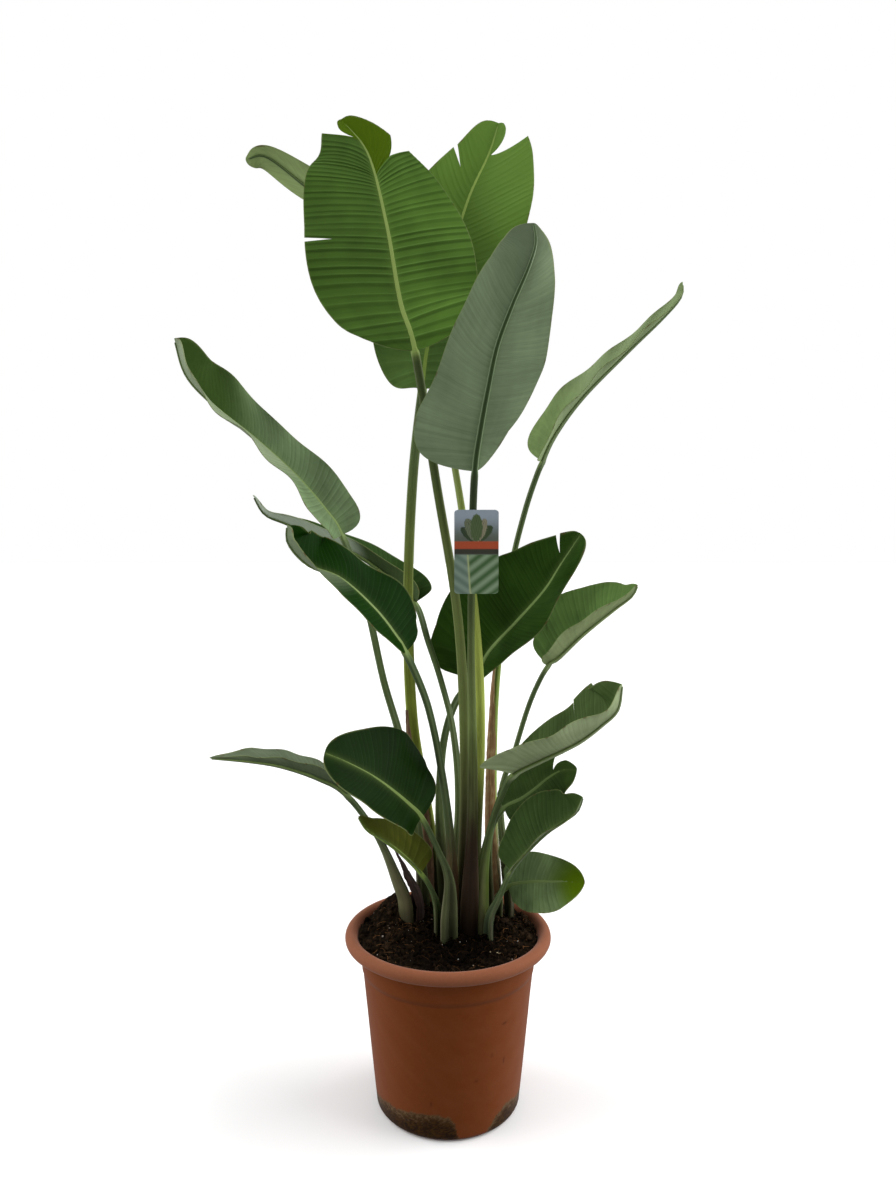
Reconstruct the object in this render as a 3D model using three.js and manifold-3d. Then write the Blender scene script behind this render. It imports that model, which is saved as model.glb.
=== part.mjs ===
// Potted bird of paradise: long-stalked, paddle-shaped leaves that rise in fans from one pot of peat.
// Millimetres, +Z up. The origin is the middle of the pot's underside, where the pot rests.

import * as THREE from 'three';
import { mergeVertices } from 'three/addons/utils/BufferGeometryUtils.js';
import Module from 'manifold-3d';

const wasm = await Module();
wasm.setup();

// Driving dimensions of the pot
const RIM_DIAMETER = 320;
const POT_HEIGHT = 273;
const BASE_DIAMETER = 224;
const NECK_DIAMETER = 275;
const WALL = 4;
const BEAD_WIDTH = 19;
const BEAD_HEIGHT = 20;
const BASE_ROUNDING = 10;
const STEP_HEIGHT = 215;
const STEP_DEPTH = 1;
const POT_SIDES = 36;
const DRAIN_HOLES = 8;
const DRAIN_DIAMETER = 14;
const DRAIN_CIRCLE_RADIUS = 82;

// Driving dimensions of the peat
const SOIL_EDGE_HEIGHT = 254;
const SOIL_CROWN = 10;
const HEAP_PLACE = [-84, 72];
const HEAP_HEIGHT = 24;
const HEAP_SPREAD = 40;
const LUMP_HEIGHT = 1.5;
const LUMP_LENGTHS = [13, 31, 11, 37];
const SOIL_RINGS = 8;
const SOIL_SIDES = 30;
const CLEARANCE = 0.35;

// Driving dimensions that every leaf shares
const FOOT_DEPTH = 230;
const FOOT_TOP = 292;
const BLADE_THICKNESS = 1.4;
const RIB_TIP_RADIUS = 1.6;
const STALK_RING_SPACING = 60;
const HOLE_SIDES = 10;
const TEAR_FADE = 0.05;
const LOBE_SPAN = 0.16;
const RIGHT_RIPPLE_SHIFT = 1.7;
const CHANNEL_DEPTH = 0.36;
const SHOULDER_HEIGHT = 0.52;
const NECK_BLEND = 12;

// Driving dimensions of the dry sheaths and of the label
const SHEATH_THICKNESS = 1;
const SHEATH_GAP = 0.5;
const SHEATH_FLATS = 5;
const SHEATH_TIP_SHARE = 0.15;
const LABEL_WIDTH = 65;
const LABEL_HEIGHT = 123;
const LABEL_THICKNESS = 0.9;
const LABEL_CORNER = 5;
const LABEL_LOOP_HEIGHT = 9;
const LABEL_LOOP_RADIUS = 8.8;
const LABEL_TOP = 915;
const LABEL_SHIFT = 5;

// Each leaf is one list entry. Places are in millimetres.
// foot: where the stalk stands in the peat; stalk: points on its way up; rib: points from the blade's base
// to its tip; face: the way the upper side looks, base to tip; half: half widths at even steps from base to
// tip; fold: how far each half rises from flat, in degrees; lobe: how far a half reaches back past the
// stalk's end; tears: splits from the edge towards the rib; ripple: height and number of the edge's waves.
const LEAVES = [
  {
    name: 'leaf_tall_front', foot: [24, 14], radii: [9.5, 7], columns: 13, strips: 3,
    stalk: [[27, 22, 530], [16, 30, 750], [-19, 45, 970]],
    rib: [[-53, 75, 1179], [-78, 105, 1265], [-103, 150, 1404], [-137, 200, 1539], [-186, 225, 1611]],
    face: [[0.05, -1, 0.15], [0.05, -1, 0.15], [-0.05, -0.9, 0.4]],
    left: { half: [145, 146, 139, 132, 124], fold: [16], curl: -12, lobe: 2 },
    right: { half: [187, 144, 127, 89, 52], fold: [9], curl: -15, lobe: 0 },
    widest: 0.42, blunt: [0.6, 0.26], sweep: 0.2, ripple: [4, 3],
    tears: [
      { side: -1, at: 0.44, from: 0.67, gap: 0.02, beyond: 1 },
      { side: -1, at: 0.955, from: 0.05, gap: 0.02, beyond: 0.26 },
      { side: 1, at: 0.87, from: 0.55, gap: 0.03, beyond: 0.92 },
    ],
  },
  {
    name: 'leaf_tall_back', foot: [-26, 100], radii: [11, 8], columns: 13, strips: 3,
    stalk: [[-35, 104, 418], [-59, 92, 581], [-65, 85, 780], [-58, 105, 976]],
    rib: [
      [-43, 150, 1132], [-32, 172, 1219], [-1, 205, 1347], [36, 240, 1479], [73, 265, 1568],
      [92, 285, 1633],
    ],
    face: [[0.05, -1, 0.3], [0, -1, 0.4], [0, -0.8, 0.6]],
    left: { half: [58, 145, 135, 92, 80], fold: [18], curl: -10, lobe: 43 },
    right: { half: [91, 110, 126, 142, 103], fold: [26], curl: -10, lobe: 20 },
    widest: 0.42, blunt: [0.43, 0.31], sweep: 0.18, ripple: [4, 3],
    tears: [
      { side: -1, at: 0.939, from: 0.45, gap: 0.03, beyond: 0.52 },
      { side: 1, at: 0.947, from: 0.05, gap: 0.05, beyond: 0.4 },
    ],
  },
  {
    name: 'leaf_tall_right', foot: [33, -9], radii: [10, 7], columns: 13, strips: 3,
    stalk: [[38, -12, 477], [35, -22, 710], [36, -40, 876]],
    rib: [
      [39, -60, 975], [46, -70, 1029], [58, -80, 1095], [70, -85, 1150], [91, -85, 1206],
      [115, -75, 1262], [127, -50, 1304], [127, -15, 1345],
    ],
    face: [[0, 1, 0.1], [0, 1, 0.1], [0, 0.7, -0.7]],
    left: { half: [28, 66, 75, 51, 21], fold: [10], curl: 12, lobe: 11 },
    right: { half: [196, 92, 67, 74, 90], fold: [0], curl: 12, lobe: 9 },
    widest: 0.42, blunt: [0.7, 0.37], sweep: 0.18, ripple: [2, 4], tears: [],
  },
  {
    name: 'leaf_tall_left', foot: [38, 33], radii: [9.5, 7], columns: 12, strips: 3,
    stalk: [[51, 42, 526], [48, 48, 702], [28, 80, 893], [5, 140, 1046], [-12, 210, 1168]],
    rib: [
      [-41, 240, 1235], [-115, 280, 1379], [-197, 292, 1478], [-260, 285, 1523], [-326, 270, 1567],
      [-361, 258, 1557],
    ],
    face: [[0.35, 0.5, 0.75]],
    left: { half: [50, 49, 48, 49, 52], fold: [9], curl: 0, lobe: 6 },
    right: { half: [53, 45, 40, 45, 95], fold: [8], curl: 0, lobe: 6 },
    widest: 0.45, blunt: [0.5, 0.54], sweep: 0.18, ripple: [2, 3], tears: [],
  },
  {
    name: 'leaf_mid_far_left', foot: [-40, 74], radii: [9, 6.5], columns: 13, strips: 3,
    stalk: [[-51, 74, 419], [-76, 66, 553], [-103, 58, 652], [-131, 52, 781]],
    rib: [
      [-166, 40, 885], [-190, 28, 924], [-234, 10, 977], [-291, -10, 1030], [-348, -28, 1077],
      [-384, -40, 1117], [-398, -50, 1168],
    ],
    face: [[0.69, -0.5, 0.52]],
    left: { half: [58, 52, 47, 46, 44], fold: [4, 16, 26, 35, 75], curl: 0, lobe: 17 },
    right: { half: [70, 50, 42, 64, 71], fold: [38], curl: 0, lobe: 5 },
    widest: 0.4, blunt: [0.41, 0.34], sweep: 0.18, ripple: [4, 4], tears: [],
  },
  {
    name: 'leaf_mid_left', foot: [8, -4], radii: [9, 6.5], columns: 11, strips: 3,
    stalk: [[6, -8, 397], [-8, -15, 516], [-30, -38, 629]],
    rib: [
      [-62, -60, 712], [-74, -68, 734], [-105, -80, 776], [-152, -97, 821], [-195, -112, 840],
      [-221, -122, 869], [-222, -128, 895],
    ],
    face: [[0.69, -0.5, 0.52]],
    left: { half: [37, 46, 52, 49, 42], fold: [12, 13, 17, 43, 75], curl: 0, lobe: 5 },
    right: { half: [70, 65, 45, 62, 77], fold: [24], curl: 0, lobe: 0 },
    widest: 0.4, blunt: [0.57, 0.35], sweep: 0.18, ripple: [2, 3], tears: [],
  },
  {
    name: 'leaf_mid_left_behind', foot: [10, 37], radii: [8.5, 6], columns: 12, strips: 3,
    stalk: [[18, 48, 459], [9, 62, 569], [-11, 74, 650], [-32, 88, 712]],
    rib: [
      [-54, 116, 774], [-94, 130, 812], [-139, 125, 846], [-179, 115, 869], [-227, 100, 889],
      [-265, 88, 905], [-296, 78, 919], [-313, 70, 949],
    ],
    face: [[0.3, -0.15, 0.9]],
    left: { half: [45, 22, 20, 25, 25], fold: [60, 75, 70, 60, 50], curl: 0, lobe: 8 },
    right: { half: [60, 45, 40, 35, 25], fold: [70, 35, 25, 25, 25], curl: 0, lobe: 18 },
    widest: 0.35, blunt: [0.4, 0.5], sweep: 0.18, ripple: [2, 3], tears: [],
  },
  {
    name: 'leaf_mid_far_right', foot: [77, 78], radii: [10, 6.5], columns: 12, strips: 3,
    stalk: [[74, 112, 441], [80, 132, 624], [102, 140, 810], [126, 118, 924]],
    rib: [
      [152, 90, 1006], [174, 75, 1052], [214, 55, 1105], [279, 30, 1169], [327, 10, 1214],
      [351, 2, 1242], [353, 0, 1264],
    ],
    face: [[-0.75, -0.2, 0.65]],
    left: { half: [67, 50, 32, 26, 33], fold: [36], curl: 0, lobe: 9 },
    right: { half: [46, 40, 35, 30, 25], fold: [22], curl: 0, lobe: 14 },
    widest: 0.38, blunt: [0.41, 0.48], sweep: 0.18, ripple: [3, 4], tears: [],
  },
  {
    name: 'leaf_mid_centre', foot: [-4, 82], radii: [9, 6.5], columns: 12, strips: 3,
    stalk: [[-14, 84, 424], [-8, 102, 537], [13, 104, 609]],
    rib: [[41, 95, 644], [65, 85, 694], [110, 65, 747], [152, 45, 798], [176, 25, 840], [204, 5, 886]],
    face: [[-0.42, -0.8, 0.43]],
    left: { half: [131, 120, 104, 93, 42], fold: [28], curl: 0, lobe: 33 },
    right: { half: [36, 38, 44, 37, 54], fold: [-3], curl: 0, lobe: 0 },
    widest: 0.4, blunt: [0.8, 0.36], sweep: 0.18, ripple: [3, 3],
    tears: [
      { side: -1, at: 0.93, from: 0.35, gap: 0.035, beyond: 1.05 },
    ],
  },
  {
    name: 'leaf_mid_right', foot: [98, 60], radii: [8, 5.5], columns: 10, strips: 3,
    stalk: [[86, 88, 448], [109, 85, 532], [134, 75, 617]],
    rib: [[160, 60, 676], [175, 50, 689], [211, 30, 728], [254, 5, 768], [279, -10, 790], [287, -18, 808]],
    face: [[-0.6, -0.15, 0.75]],
    left: { half: [87, 88, 75, 63, 51], fold: [46], curl: 0, lobe: 4 },
    right: { half: [33, 32, 27, 22, 21], fold: [60], curl: 0, lobe: 0 },
    widest: 0.4, blunt: [0.42, 0.5], sweep: 0.18, ripple: [2, 3], tears: [],
  },
  {
    name: 'leaf_low_right_upper', foot: [57, 10], radii: [12, 7], columns: 11, strips: 3,
    stalk: [[56, 8, 362], [66, 0, 434], [83, -6, 487]],
    rib: [
      [100, -15, 518], [139, -30, 543], [171, -48, 563], [197, -62, 581], [225, -76, 607],
      [244, -90, 631], [249, -98, 669],
    ],
    face: [[-0.6, -0.15, 0.78]],
    left: { half: [38, 51, 55, 72, 103], fold: [45], curl: 0, lobe: 0 },
    right: { half: [125, 70, 66, 40, 22], fold: [49], curl: 0, lobe: 28 },
    widest: 0.42, blunt: [0.42, 0.4], sweep: 0.18, ripple: [2, 3],
    tears: [
      { side: -1, at: 0.6, from: 0.4, gap: 0.03, beyond: 1 },
    ],
  },
  {
    name: 'leaf_low_right_second', foot: [64, 40], radii: [7.5, 5], columns: 9, strips: 2,
    stalk: [[64, 43, 359], [70, 34, 418]],
    rib: [[88, 20, 455], [114, 10, 472], [135, 2, 490], [154, -6, 509], [175, -16, 524], [196, -26, 527]],
    face: [[-0.35, -0.75, 0.55]],
    left: { half: [50, 55, 62, 45, 30], fold: [5], curl: 0, lobe: 8 },
    right: { half: [50, 52, 54, 60, 60], fold: [5], curl: 0, lobe: 8 },
    widest: 0.5, blunt: [0.5, 0.4], sweep: 0.18, ripple: [1.5, 3],
    tears: [
      { side: -1, at: 0.62, from: 0.5, gap: 0.03, beyond: 1 },
      { side: -1, at: 0.85, from: 0.2, gap: 0.05, beyond: 0.6 },
    ],
  },
  {
    name: 'leaf_low_right_third', foot: [62, -22], radii: [7, 5], columns: 9, strips: 2,
    stalk: [[77, -30, 330]],
    rib: [
      [95, -40, 377], [121, -52, 414], [147, -62, 443], [171, -72, 463], [189, -79, 480],
      [196, -85, 502],
    ],
    face: [[-0.5, -0.3, 0.75]],
    left: { half: [58, 60, 60, 56, 52], fold: [35], curl: 0, lobe: 10 },
    right: { half: [30, 24, 22, 20, 15], fold: [35], curl: 0, lobe: 12 },
    widest: 0.5, blunt: [0.42, 0.4], sweep: 0.18, ripple: [2, 2], tears: [],
  },
  {
    name: 'leaf_low_right_lowest', foot: [80, 48], radii: [6.5, 4.5], columns: 8, strips: 2,
    stalk: [],
    rib: [[97, 48, 318], [130, 20, 336], [159, -5, 346], [184, -25, 354], [207, -40, 357]],
    face: [[-0.05, -0.8, 0.6]],
    left: { half: [54, 52, 43, 42, 46], fold: [6], curl: 0, lobe: 6 },
    right: { half: [40, 47, 51, 56, 67], fold: [3], curl: 0, lobe: 6 },
    widest: 0.45, blunt: [0.5, 0.58], sweep: 0.18, ripple: [1.5, 2], tears: [],
  },
  {
    name: 'leaf_low_left_broad', foot: [2, -28], radii: [8, 5.5], columns: 9, strips: 3,
    stalk: [[2, -36, 360], [-15, -46, 410]],
    rib: [
      [-39, -60, 464], [-56, -70, 486], [-82, -90, 519], [-109, -105, 537], [-145, -125, 564],
      [-172, -135, 578],
    ],
    face: [[0.3, -0.8, 0.5]],
    left: { half: [51, 44, 45, 51, 58], fold: [6], curl: 0, lobe: 20 },
    right: { half: [93, 96, 93, 76, 65], fold: [-10], curl: 0, lobe: 2 },
    widest: 0.42, blunt: [0.45, 0.4], sweep: 0.18, ripple: [2, 2], tears: [],
  },
  {
    name: 'leaf_low_far_left', foot: [-71, 44], radii: [12, 6], columns: 9, strips: 2,
    stalk: [[-84, 44, 326], [-115, 40, 400]],
    rib: [[-161, 30, 474], [-202, 10, 505], [-252, -20, 531], [-296, -45, 545], [-349, -75, 557]],
    face: [[0.1, -0.25, 1]],
    left: { half: [29, 22, 17, 14, 12], fold: [70], curl: 0, lobe: 4 },
    right: { half: [39, 38, 34, 33, 20], fold: [22], curl: 0, lobe: 4 },
    widest: 0.4, blunt: [0.5, 0.61], sweep: 0.18, ripple: [2, 4], tears: [],
  },
  {
    name: 'leaf_low_left_small', foot: [-14, -12], radii: [6.5, 4.5], columns: 8, strips: 2,
    stalk: [[-22, -15, 330]],
    rib: [[-41, -20, 365], [-72, -28, 400], [-99, -36, 423], [-122, -40, 439], [-135, -43, 460]],
    face: [[0.45, -0.4, 0.8]],
    left: { half: [7, 7, 6, 6, 6], fold: [40], curl: 0, lobe: 6 },
    right: { half: [69, 53, 44, 39, 31], fold: [16, 10, 21], curl: 0, lobe: 8 },
    widest: 0.4, blunt: [0.52, 0.49], sweep: 0.18, ripple: [1, 2], tears: [],
  },
];

// Dry leaf bases that still clasp a stalk: which leaf's, over how many of its rings, which way they face,
// and how far round they reach at the foot, in degrees
const SHEATHS = [
  { name: 'dry_sheath_right', leaf: 'leaf_mid_far_right', rings: 8, toward: [-0.95, -0.3], spread: 150 },
  { name: 'dry_sheath_left', leaf: 'leaf_tall_back', rings: 7, toward: [-0.6, -0.8], spread: 170 },
  { name: 'dry_sheath_far_left', leaf: 'leaf_low_far_left', rings: 4, toward: [0.85, -0.5], spread: 150 },
];

const LEAF_GREEN = 0x2f5a24;
const DRY_BROWN = 0x7a5334;
const POT_TERRACOTTA = 0x8a4f31;
const PEAT_BROWN = 0x241a14;
const LABEL_GREEN = 0x6f9a6a;

// Small helpers

const clamp = (value, low, high) => Math.min(high, Math.max(low, value));
const radians = (degrees) => (degrees * Math.PI) / 180;

// A smooth value through evenly spaced values, at t from 0 to 1
function through(values, t) {
  if (values.length === 1) {
    return values[0];
  }
  const last = values.length - 1;
  const place = clamp(t, 0, 1) * last;
  const i = Math.min(Math.floor(place), last - 1);
  const s = place - i;
  const before = i > 0 ? values[i - 1] : 2 * values[0] - values[1];
  const after = i + 2 <= last ? values[i + 2] : 2 * values[last] - values[last - 1];
  const startSlope = (values[i + 1] - before) / 2;
  const endSlope = (after - values[i]) / 2;
  const rise = values[i + 1] - values[i];
  const square = s * s;
  return values[i] + startSlope * s
    + (3 * rise - 2 * startSlope - endSlope) * square
    + (startSlope + endSlope - 2 * rise) * square * s;
}

function throughVectors(vectors, t) {
  const pick = (axis) => through(vectors.map((vector) => vector[axis]), t);
  return new THREE.Vector3(pick(0), pick(1), pick(2));
}

// A closed triangle mesh made into a solid, with shared corners merged and its faces turned outward
function solidFrom(geometry) {
  const bare = geometry.clone();
  bare.deleteAttribute('normal');
  bare.deleteAttribute('uv');
  const merged = mergeVertices(bare, 1e-4);
  const position = merged.getAttribute('position');
  const index = merged.getIndex().array;
  const corner = (k) => new THREE.Vector3().fromBufferAttribute(position, k);
  const triangles = [];
  let volume = 0;
  for (let k = 0; k < index.length; k += 3) {
    const [a, b, c] = [index[k], index[k + 1], index[k + 2]];
    if (a !== b && b !== c && c !== a) {
      triangles.push([a, b, c]);
      volume += corner(a).dot(corner(b).cross(corner(c)));
    }
  }
  const ordered = volume < 0 ? triangles.map(([a, b, c]) => [a, c, b]) : triangles;
  return new wasm.Manifold(new wasm.Mesh({
    numProp: 3,
    vertProperties: new Float32Array(position.array),
    triVerts: new Uint32Array(ordered.flat()),
  }));
}

function geometryFrom(solid) {
  const mesh = solid.getMesh();
  const geometry = new THREE.BufferGeometry();
  geometry.setAttribute('position', new THREE.BufferAttribute(mesh.vertProperties, 3));
  geometry.setIndex(new THREE.BufferAttribute(mesh.triVerts, 1));
  geometry.computeVertexNormals();
  return geometry;
}

function indexedGeometry(points, triangles) {
  const geometry = new THREE.BufferGeometry();
  const numbers = points.flatMap((point) => [point.x, point.y, point.z]);
  geometry.setAttribute('position', new THREE.Float32BufferAttribute(numbers, 3));
  geometry.setIndex(triangles);
  return geometry;
}

function uprightCylinder(radius, low, high, sides, x, y) {
  const geometry = new THREE.CylinderGeometry(radius, radius, high - low, sides);
  geometry.rotateX(Math.PI / 2);
  geometry.translate(x, y, (low + high) / 2);
  return geometry;
}

// Rings of points, each ring with as many points, joined into a closed skin with flat ends
function loftGeometry(rings) {
  const count = rings[0].length;
  const triangles = [];
  for (let r = 0; r + 1 < rings.length; r += 1) {
    for (let k = 0; k < count; k += 1) {
      const a = r * count + k;
      const b = r * count + ((k + 1) % count);
      triangles.push(a, b, b + count, a, b + count, a + count);
    }
  }
  const lastRing = (rings.length - 1) * count;
  for (let k = 1; k + 1 < count; k += 1) {
    triangles.push(0, k + 1, k, lastRing, lastRing + k, lastRing + k + 1);
  }
  return indexedGeometry(rings.flat(), triangles);
}

// Pot: a turned shell with a rolled bead, a faint step, a rounded foot and drain holes round a solid middle

function arcPoints(centre, radii, fromDegrees, toDegrees, steps) {
  const points = [];
  for (let k = 0; k <= steps; k += 1) {
    const angle = radians(fromDegrees + ((toDegrees - fromDegrees) * k) / steps);
    const x = centre[0] + radii[0] * Math.cos(angle);
    points.push(new THREE.Vector2(x, centre[1] + radii[1] * Math.sin(angle)));
  }
  return points;
}

const neckHeight = POT_HEIGHT - BEAD_HEIGHT - 3;

// The wall's outer radius at a height between the foot's rounding and the neck
function wallRadius(z) {
  const share = (z - BASE_ROUNDING) / (neckHeight - BASE_ROUNDING);
  return (BASE_DIAMETER + (NECK_DIAMETER - BASE_DIAMETER) * share) / 2;
}

function potSolid() {
  const baseRadius = BASE_DIAMETER / 2;
  const beadCentre = [(RIM_DIAMETER - BEAD_WIDTH) / 2, POT_HEIGHT - BEAD_HEIGHT / 2];
  const bead = [BEAD_WIDTH / 2, BEAD_HEIGHT / 2];
  const roundingCentre = [baseRadius - BASE_ROUNDING, BASE_ROUNDING];
  const innerRounding = BASE_ROUNDING - WALL;
  const foot = arcPoints(roundingCentre, [BASE_ROUNDING, BASE_ROUNDING], -90, 0, 3);
  const innerFoot = arcPoints(roundingCentre, [innerRounding, innerRounding], 0, -90, 2);
  const profile = [
    new THREE.Vector2(0, 0),
    ...foot,
    new THREE.Vector2(wallRadius(STEP_HEIGHT) - STEP_DEPTH, STEP_HEIGHT),
    new THREE.Vector2(wallRadius(STEP_HEIGHT), STEP_HEIGHT + STEP_DEPTH),
    new THREE.Vector2(wallRadius(neckHeight), neckHeight),
    ...arcPoints(beadCentre, bead, -60, 180, 7),
    new THREE.Vector2(wallRadius(neckHeight) - WALL, neckHeight),
    ...innerFoot,
    new THREE.Vector2(0, WALL),
  ];
  const shell = new THREE.LatheGeometry(profile, POT_SIDES);
  shell.rotateX(Math.PI / 2);
  let pot = solidFrom(shell);
  for (let k = 0; k < DRAIN_HOLES; k += 1) {
    const angle = (2 * Math.PI * (k + 0.5)) / DRAIN_HOLES;
    const x = DRAIN_CIRCLE_RADIUS * Math.cos(angle);
    const y = DRAIN_CIRCLE_RADIUS * Math.sin(angle);
    pot = pot.subtract(solidFrom(uprightCylinder(DRAIN_DIAMETER / 2, -1, WALL + 1, 12, x, y)));
  }
  return pot;
}

// Peat: fills the pot, crowned in the middle, heaped at the back left, with a lumpy top

function soilHeight(x, y) {
  const edgeRadius = wallRadius(neckHeight) - WALL;
  const outward = (x * x + y * y) / (edgeRadius * edgeRadius);
  const away = (x - HEAP_PLACE[0]) ** 2 + (y - HEAP_PLACE[1]) ** 2;
  const heap = HEAP_HEIGHT * Math.exp(-away / (HEAP_SPREAD * HEAP_SPREAD));
  const [a, b, c, d] = LUMP_LENGTHS;
  const lumps = LUMP_HEIGHT * (Math.sin(x / a + y / b) + Math.cos(y / c - x / d));
  return SOIL_EDGE_HEIGHT + SOIL_CROWN * (1 - outward) + heap * (1 - outward ** 4) + lumps;
}

function soilSolid(holes) {
  const flat = Math.cos(Math.PI / POT_SIDES);
  const innerRadius = (z) => (wallRadius(z) - WALL) * flat - CLEARANCE / flat;
  const topRadius = innerRadius(neckHeight);
  const bottomRadius = BASE_DIAMETER / 2 - BASE_ROUNDING - 2;
  const shoulderHeight = BASE_ROUNDING + WALL;
  const shoulderRadius = innerRadius(shoulderHeight) - STEP_DEPTH;
  const ringAt = (radius, height) => {
    const ring = [];
    for (let k = 0; k < SOIL_SIDES; k += 1) {
      const angle = (2 * Math.PI * k) / SOIL_SIDES;
      const x = radius * Math.cos(angle);
      const y = radius * Math.sin(angle);
      ring.push(new THREE.Vector3(x, y, height === null ? soilHeight(x, y) : height));
    }
    return ring;
  };
  const rings = [
    ringAt(bottomRadius, WALL + CLEARANCE),
    ringAt(shoulderRadius, shoulderHeight),
    ringAt(topRadius, neckHeight),
  ];
  for (let r = 1; r < SOIL_RINGS; r += 1) {
    rings.push(ringAt(topRadius * (1 - 0.015 - ((r - 1) * 0.94) / (SOIL_RINGS - 1)), null));
  }
  return holes.reduce((soil, hole) => soil.subtract(solidFrom(hole)), solidFrom(loftGeometry(rings)));
}

// Leaf: one curve carries the channelled stalk and the blade's midrib

class Leaf {
  constructor(sizes) {
    Object.assign(this, sizes);
    const [x, y] = sizes.foot;
    const points = [[x, y, FOOT_DEPTH], [x, y, FOOT_TOP], ...sizes.stalk, ...sizes.rib];
    const curvePoints = points.map(([px, py, pz]) => new THREE.Vector3(px, py, pz));
    this.curve = new THREE.CatmullRomCurve3(curvePoints, false, 'catmullrom', 0.5);
    const perPoint = 24;
    this.curve.arcLengthDivisions = perPoint * (points.length - 1);
    const lengths = this.curve.getLengths();
    this.total = lengths[lengths.length - 1];
    this.start = lengths[perPoint * (2 + sizes.stalk.length)];
    this.length = this.total - this.start;
    this.tearsOn = (side) => this.tears.filter((tear) => tear.side === side);
  }

  // The curve's point, direction, upper-side normal and right-hand side at a run along the curve
  frameAt(run) {
    const along = clamp(run / this.total, 0, 1);
    const point = this.curve.getPointAt(along);
    const direction = this.curve.getTangentAt(along);
    const share = clamp((run - this.start) / this.length, 0, 1);
    const normal = throughVectors(this.face, share);
    normal.addScaledVector(direction, -normal.dot(direction)).normalize();
    const right = new THREE.Vector3().crossVectors(direction, normal);
    return { point, direction, normal, right, share };
  }

  // Where on the rib the side vein of a station starts, as a run from the blade's base
  ribRun(t) {
    return this.length * t * (1 - this.sweep * (1 - t ** 12));
  }

  // A blade point: tau runs from base to tip, out from rib to edge, side is -1 left or 1 right.
  // lean says on which side of a tear the point lies: -1 towards the base, 1 towards the tip.
  bladePoint(tau, out, side, lean) {
    const half = side < 0 ? this.left : this.right;
    let warped = tau;
    let width = 1;
    for (const tear of this.tearsOn(side)) {
      const offset = tau - tear.at;
      const direction = Math.abs(offset) < 1e-6 ? lean : Math.sign(offset);
      const open = clamp((out - tear.from) / (1 - tear.from), 0, 1);
      warped += direction * (tear.gap / 2) * open * Math.exp(-Math.abs(offset) / TEAR_FADE);
      width *= direction > 0 ? 1 + (tear.beyond - 1) * open : 1;
    }
    const t = clamp(warped, 0, 1);
    const halfWidth = Math.max(1, through(half.half, t));
    const shape = Math.log(0.5) / Math.log(this.widest);
    const blunt = through(this.blunt, t);
    const reach = halfWidth * Math.max(0, Math.sin(Math.PI * t ** shape)) ** blunt * width;
    const edgeRun = this.length * t - half.lobe * Math.sin(Math.PI * Math.min(1, t / LOBE_SPAN));
    const veinRoot = this.ribRun(t);
    const run = veinRoot + (edgeRun - veinRoot) * out ** 1.4;
    const { point, direction, normal, right, share } = this.frameAt(this.start + clamp(run, 0, this.length));
    point.addScaledVector(direction, run - clamp(run, 0, this.length));
    const across = (reach * out) / halfWidth;
    const startAngle = radians(through(half.fold, share));
    const bend = radians(Math.abs(half.curl) < 0.1 ? 0.1 : half.curl);
    const endAngle = startAngle + bend * across;
    const outward = (halfWidth * (Math.sin(endAngle) - Math.sin(startAngle))) / bend;
    const upward = (halfWidth * (Math.cos(startAngle) - Math.cos(endAngle))) / bend;
    point.addScaledVector(right, side * outward).addScaledVector(normal, upward);
    const upperSide = normal.clone().multiplyScalar(Math.cos(endAngle));
    upperSide.addScaledVector(right, -side * Math.sin(endAngle));
    const [height, waves] = this.ripple;
    const shift = side < 0 ? 0 : RIGHT_RIPPLE_SHIFT;
    const ends = Math.min(1, 8 * t, 4 * (1 - t));
    point.addScaledVector(upperSide, height * out * out * ends * Math.sin(2 * Math.PI * waves * t + shift));
    return { point, upperSide: out === 0 ? normal : upperSide };
  }

  // The stations from base to tip, closer together at both ends, with one at each tear
  stations() {
    const list = [];
    for (let k = 0; k <= this.columns; k += 1) {
      const even = k / this.columns;
      list.push(even - Math.sin(2 * Math.PI * even) / (4 * Math.PI));
    }
    for (const tear of this.tears) {
      const nearest = list.reduce((best, value, k) => (
        Math.abs(value - tear.at) < Math.abs(list[best] - tear.at) ? k : best), 1);
      list[nearest] = tear.at;
    }
    return list;
  }

  // The blade: the same triangles on both faces, a rim along every open edge
  bladeGeometry() {
    const stations = this.stations();
    const tops = [];
    const bottoms = [];
    const known = new Map();
    const corner = (column, strip, side, lean) => {
      const { point, upperSide } = this.bladePoint(stations[column], strip / this.strips, side, lean);
      const key = [point.x, point.y, point.z].map((value) => Math.round(value * 200)).join(' ');
      if (!known.has(key)) {
        known.set(key, tops.length);
        tops.push(point.clone().addScaledVector(upperSide, BLADE_THICKNESS / 2));
        bottoms.push(point.clone().addScaledVector(upperSide, -BLADE_THICKNESS / 2));
      }
      return known.get(key);
    };
    const faces = [];
    for (const side of [-1, 1]) {
      for (let column = 0; column < this.columns; column += 1) {
        for (let strip = 0; strip < this.strips; strip += 1) {
          const a = corner(column, strip, side, 1);
          const b = corner(column + 1, strip, side, -1);
          const c = corner(column + 1, strip + 1, side, -1);
          const d = corner(column, strip + 1, side, 1);
          const pair = side < 0 ? [[a, b, c], [a, c, d]] : [[a, c, b], [a, d, c]];
          faces.push(...pair.filter(([p, q, r]) => p !== q && q !== r && r !== p));
        }
      }
    }
    const edges = new Set(faces.flatMap(([p, q, r]) => [`${p} ${q}`, `${q} ${r}`, `${r} ${p}`]));
    const count = tops.length;
    const triangles = [];
    for (const [p, q, r] of faces) {
      triangles.push(p, q, r, p + count, r + count, q + count);
      for (const [from, to] of [[p, q], [q, r], [r, p]]) {
        if (!edges.has(`${to} ${from}`)) {
          triangles.push(from, from + count, to + count, from, to + count, to);
        }
      }
    }
    return indexedGeometry([...tops, ...bottoms], triangles);
  }

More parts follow.
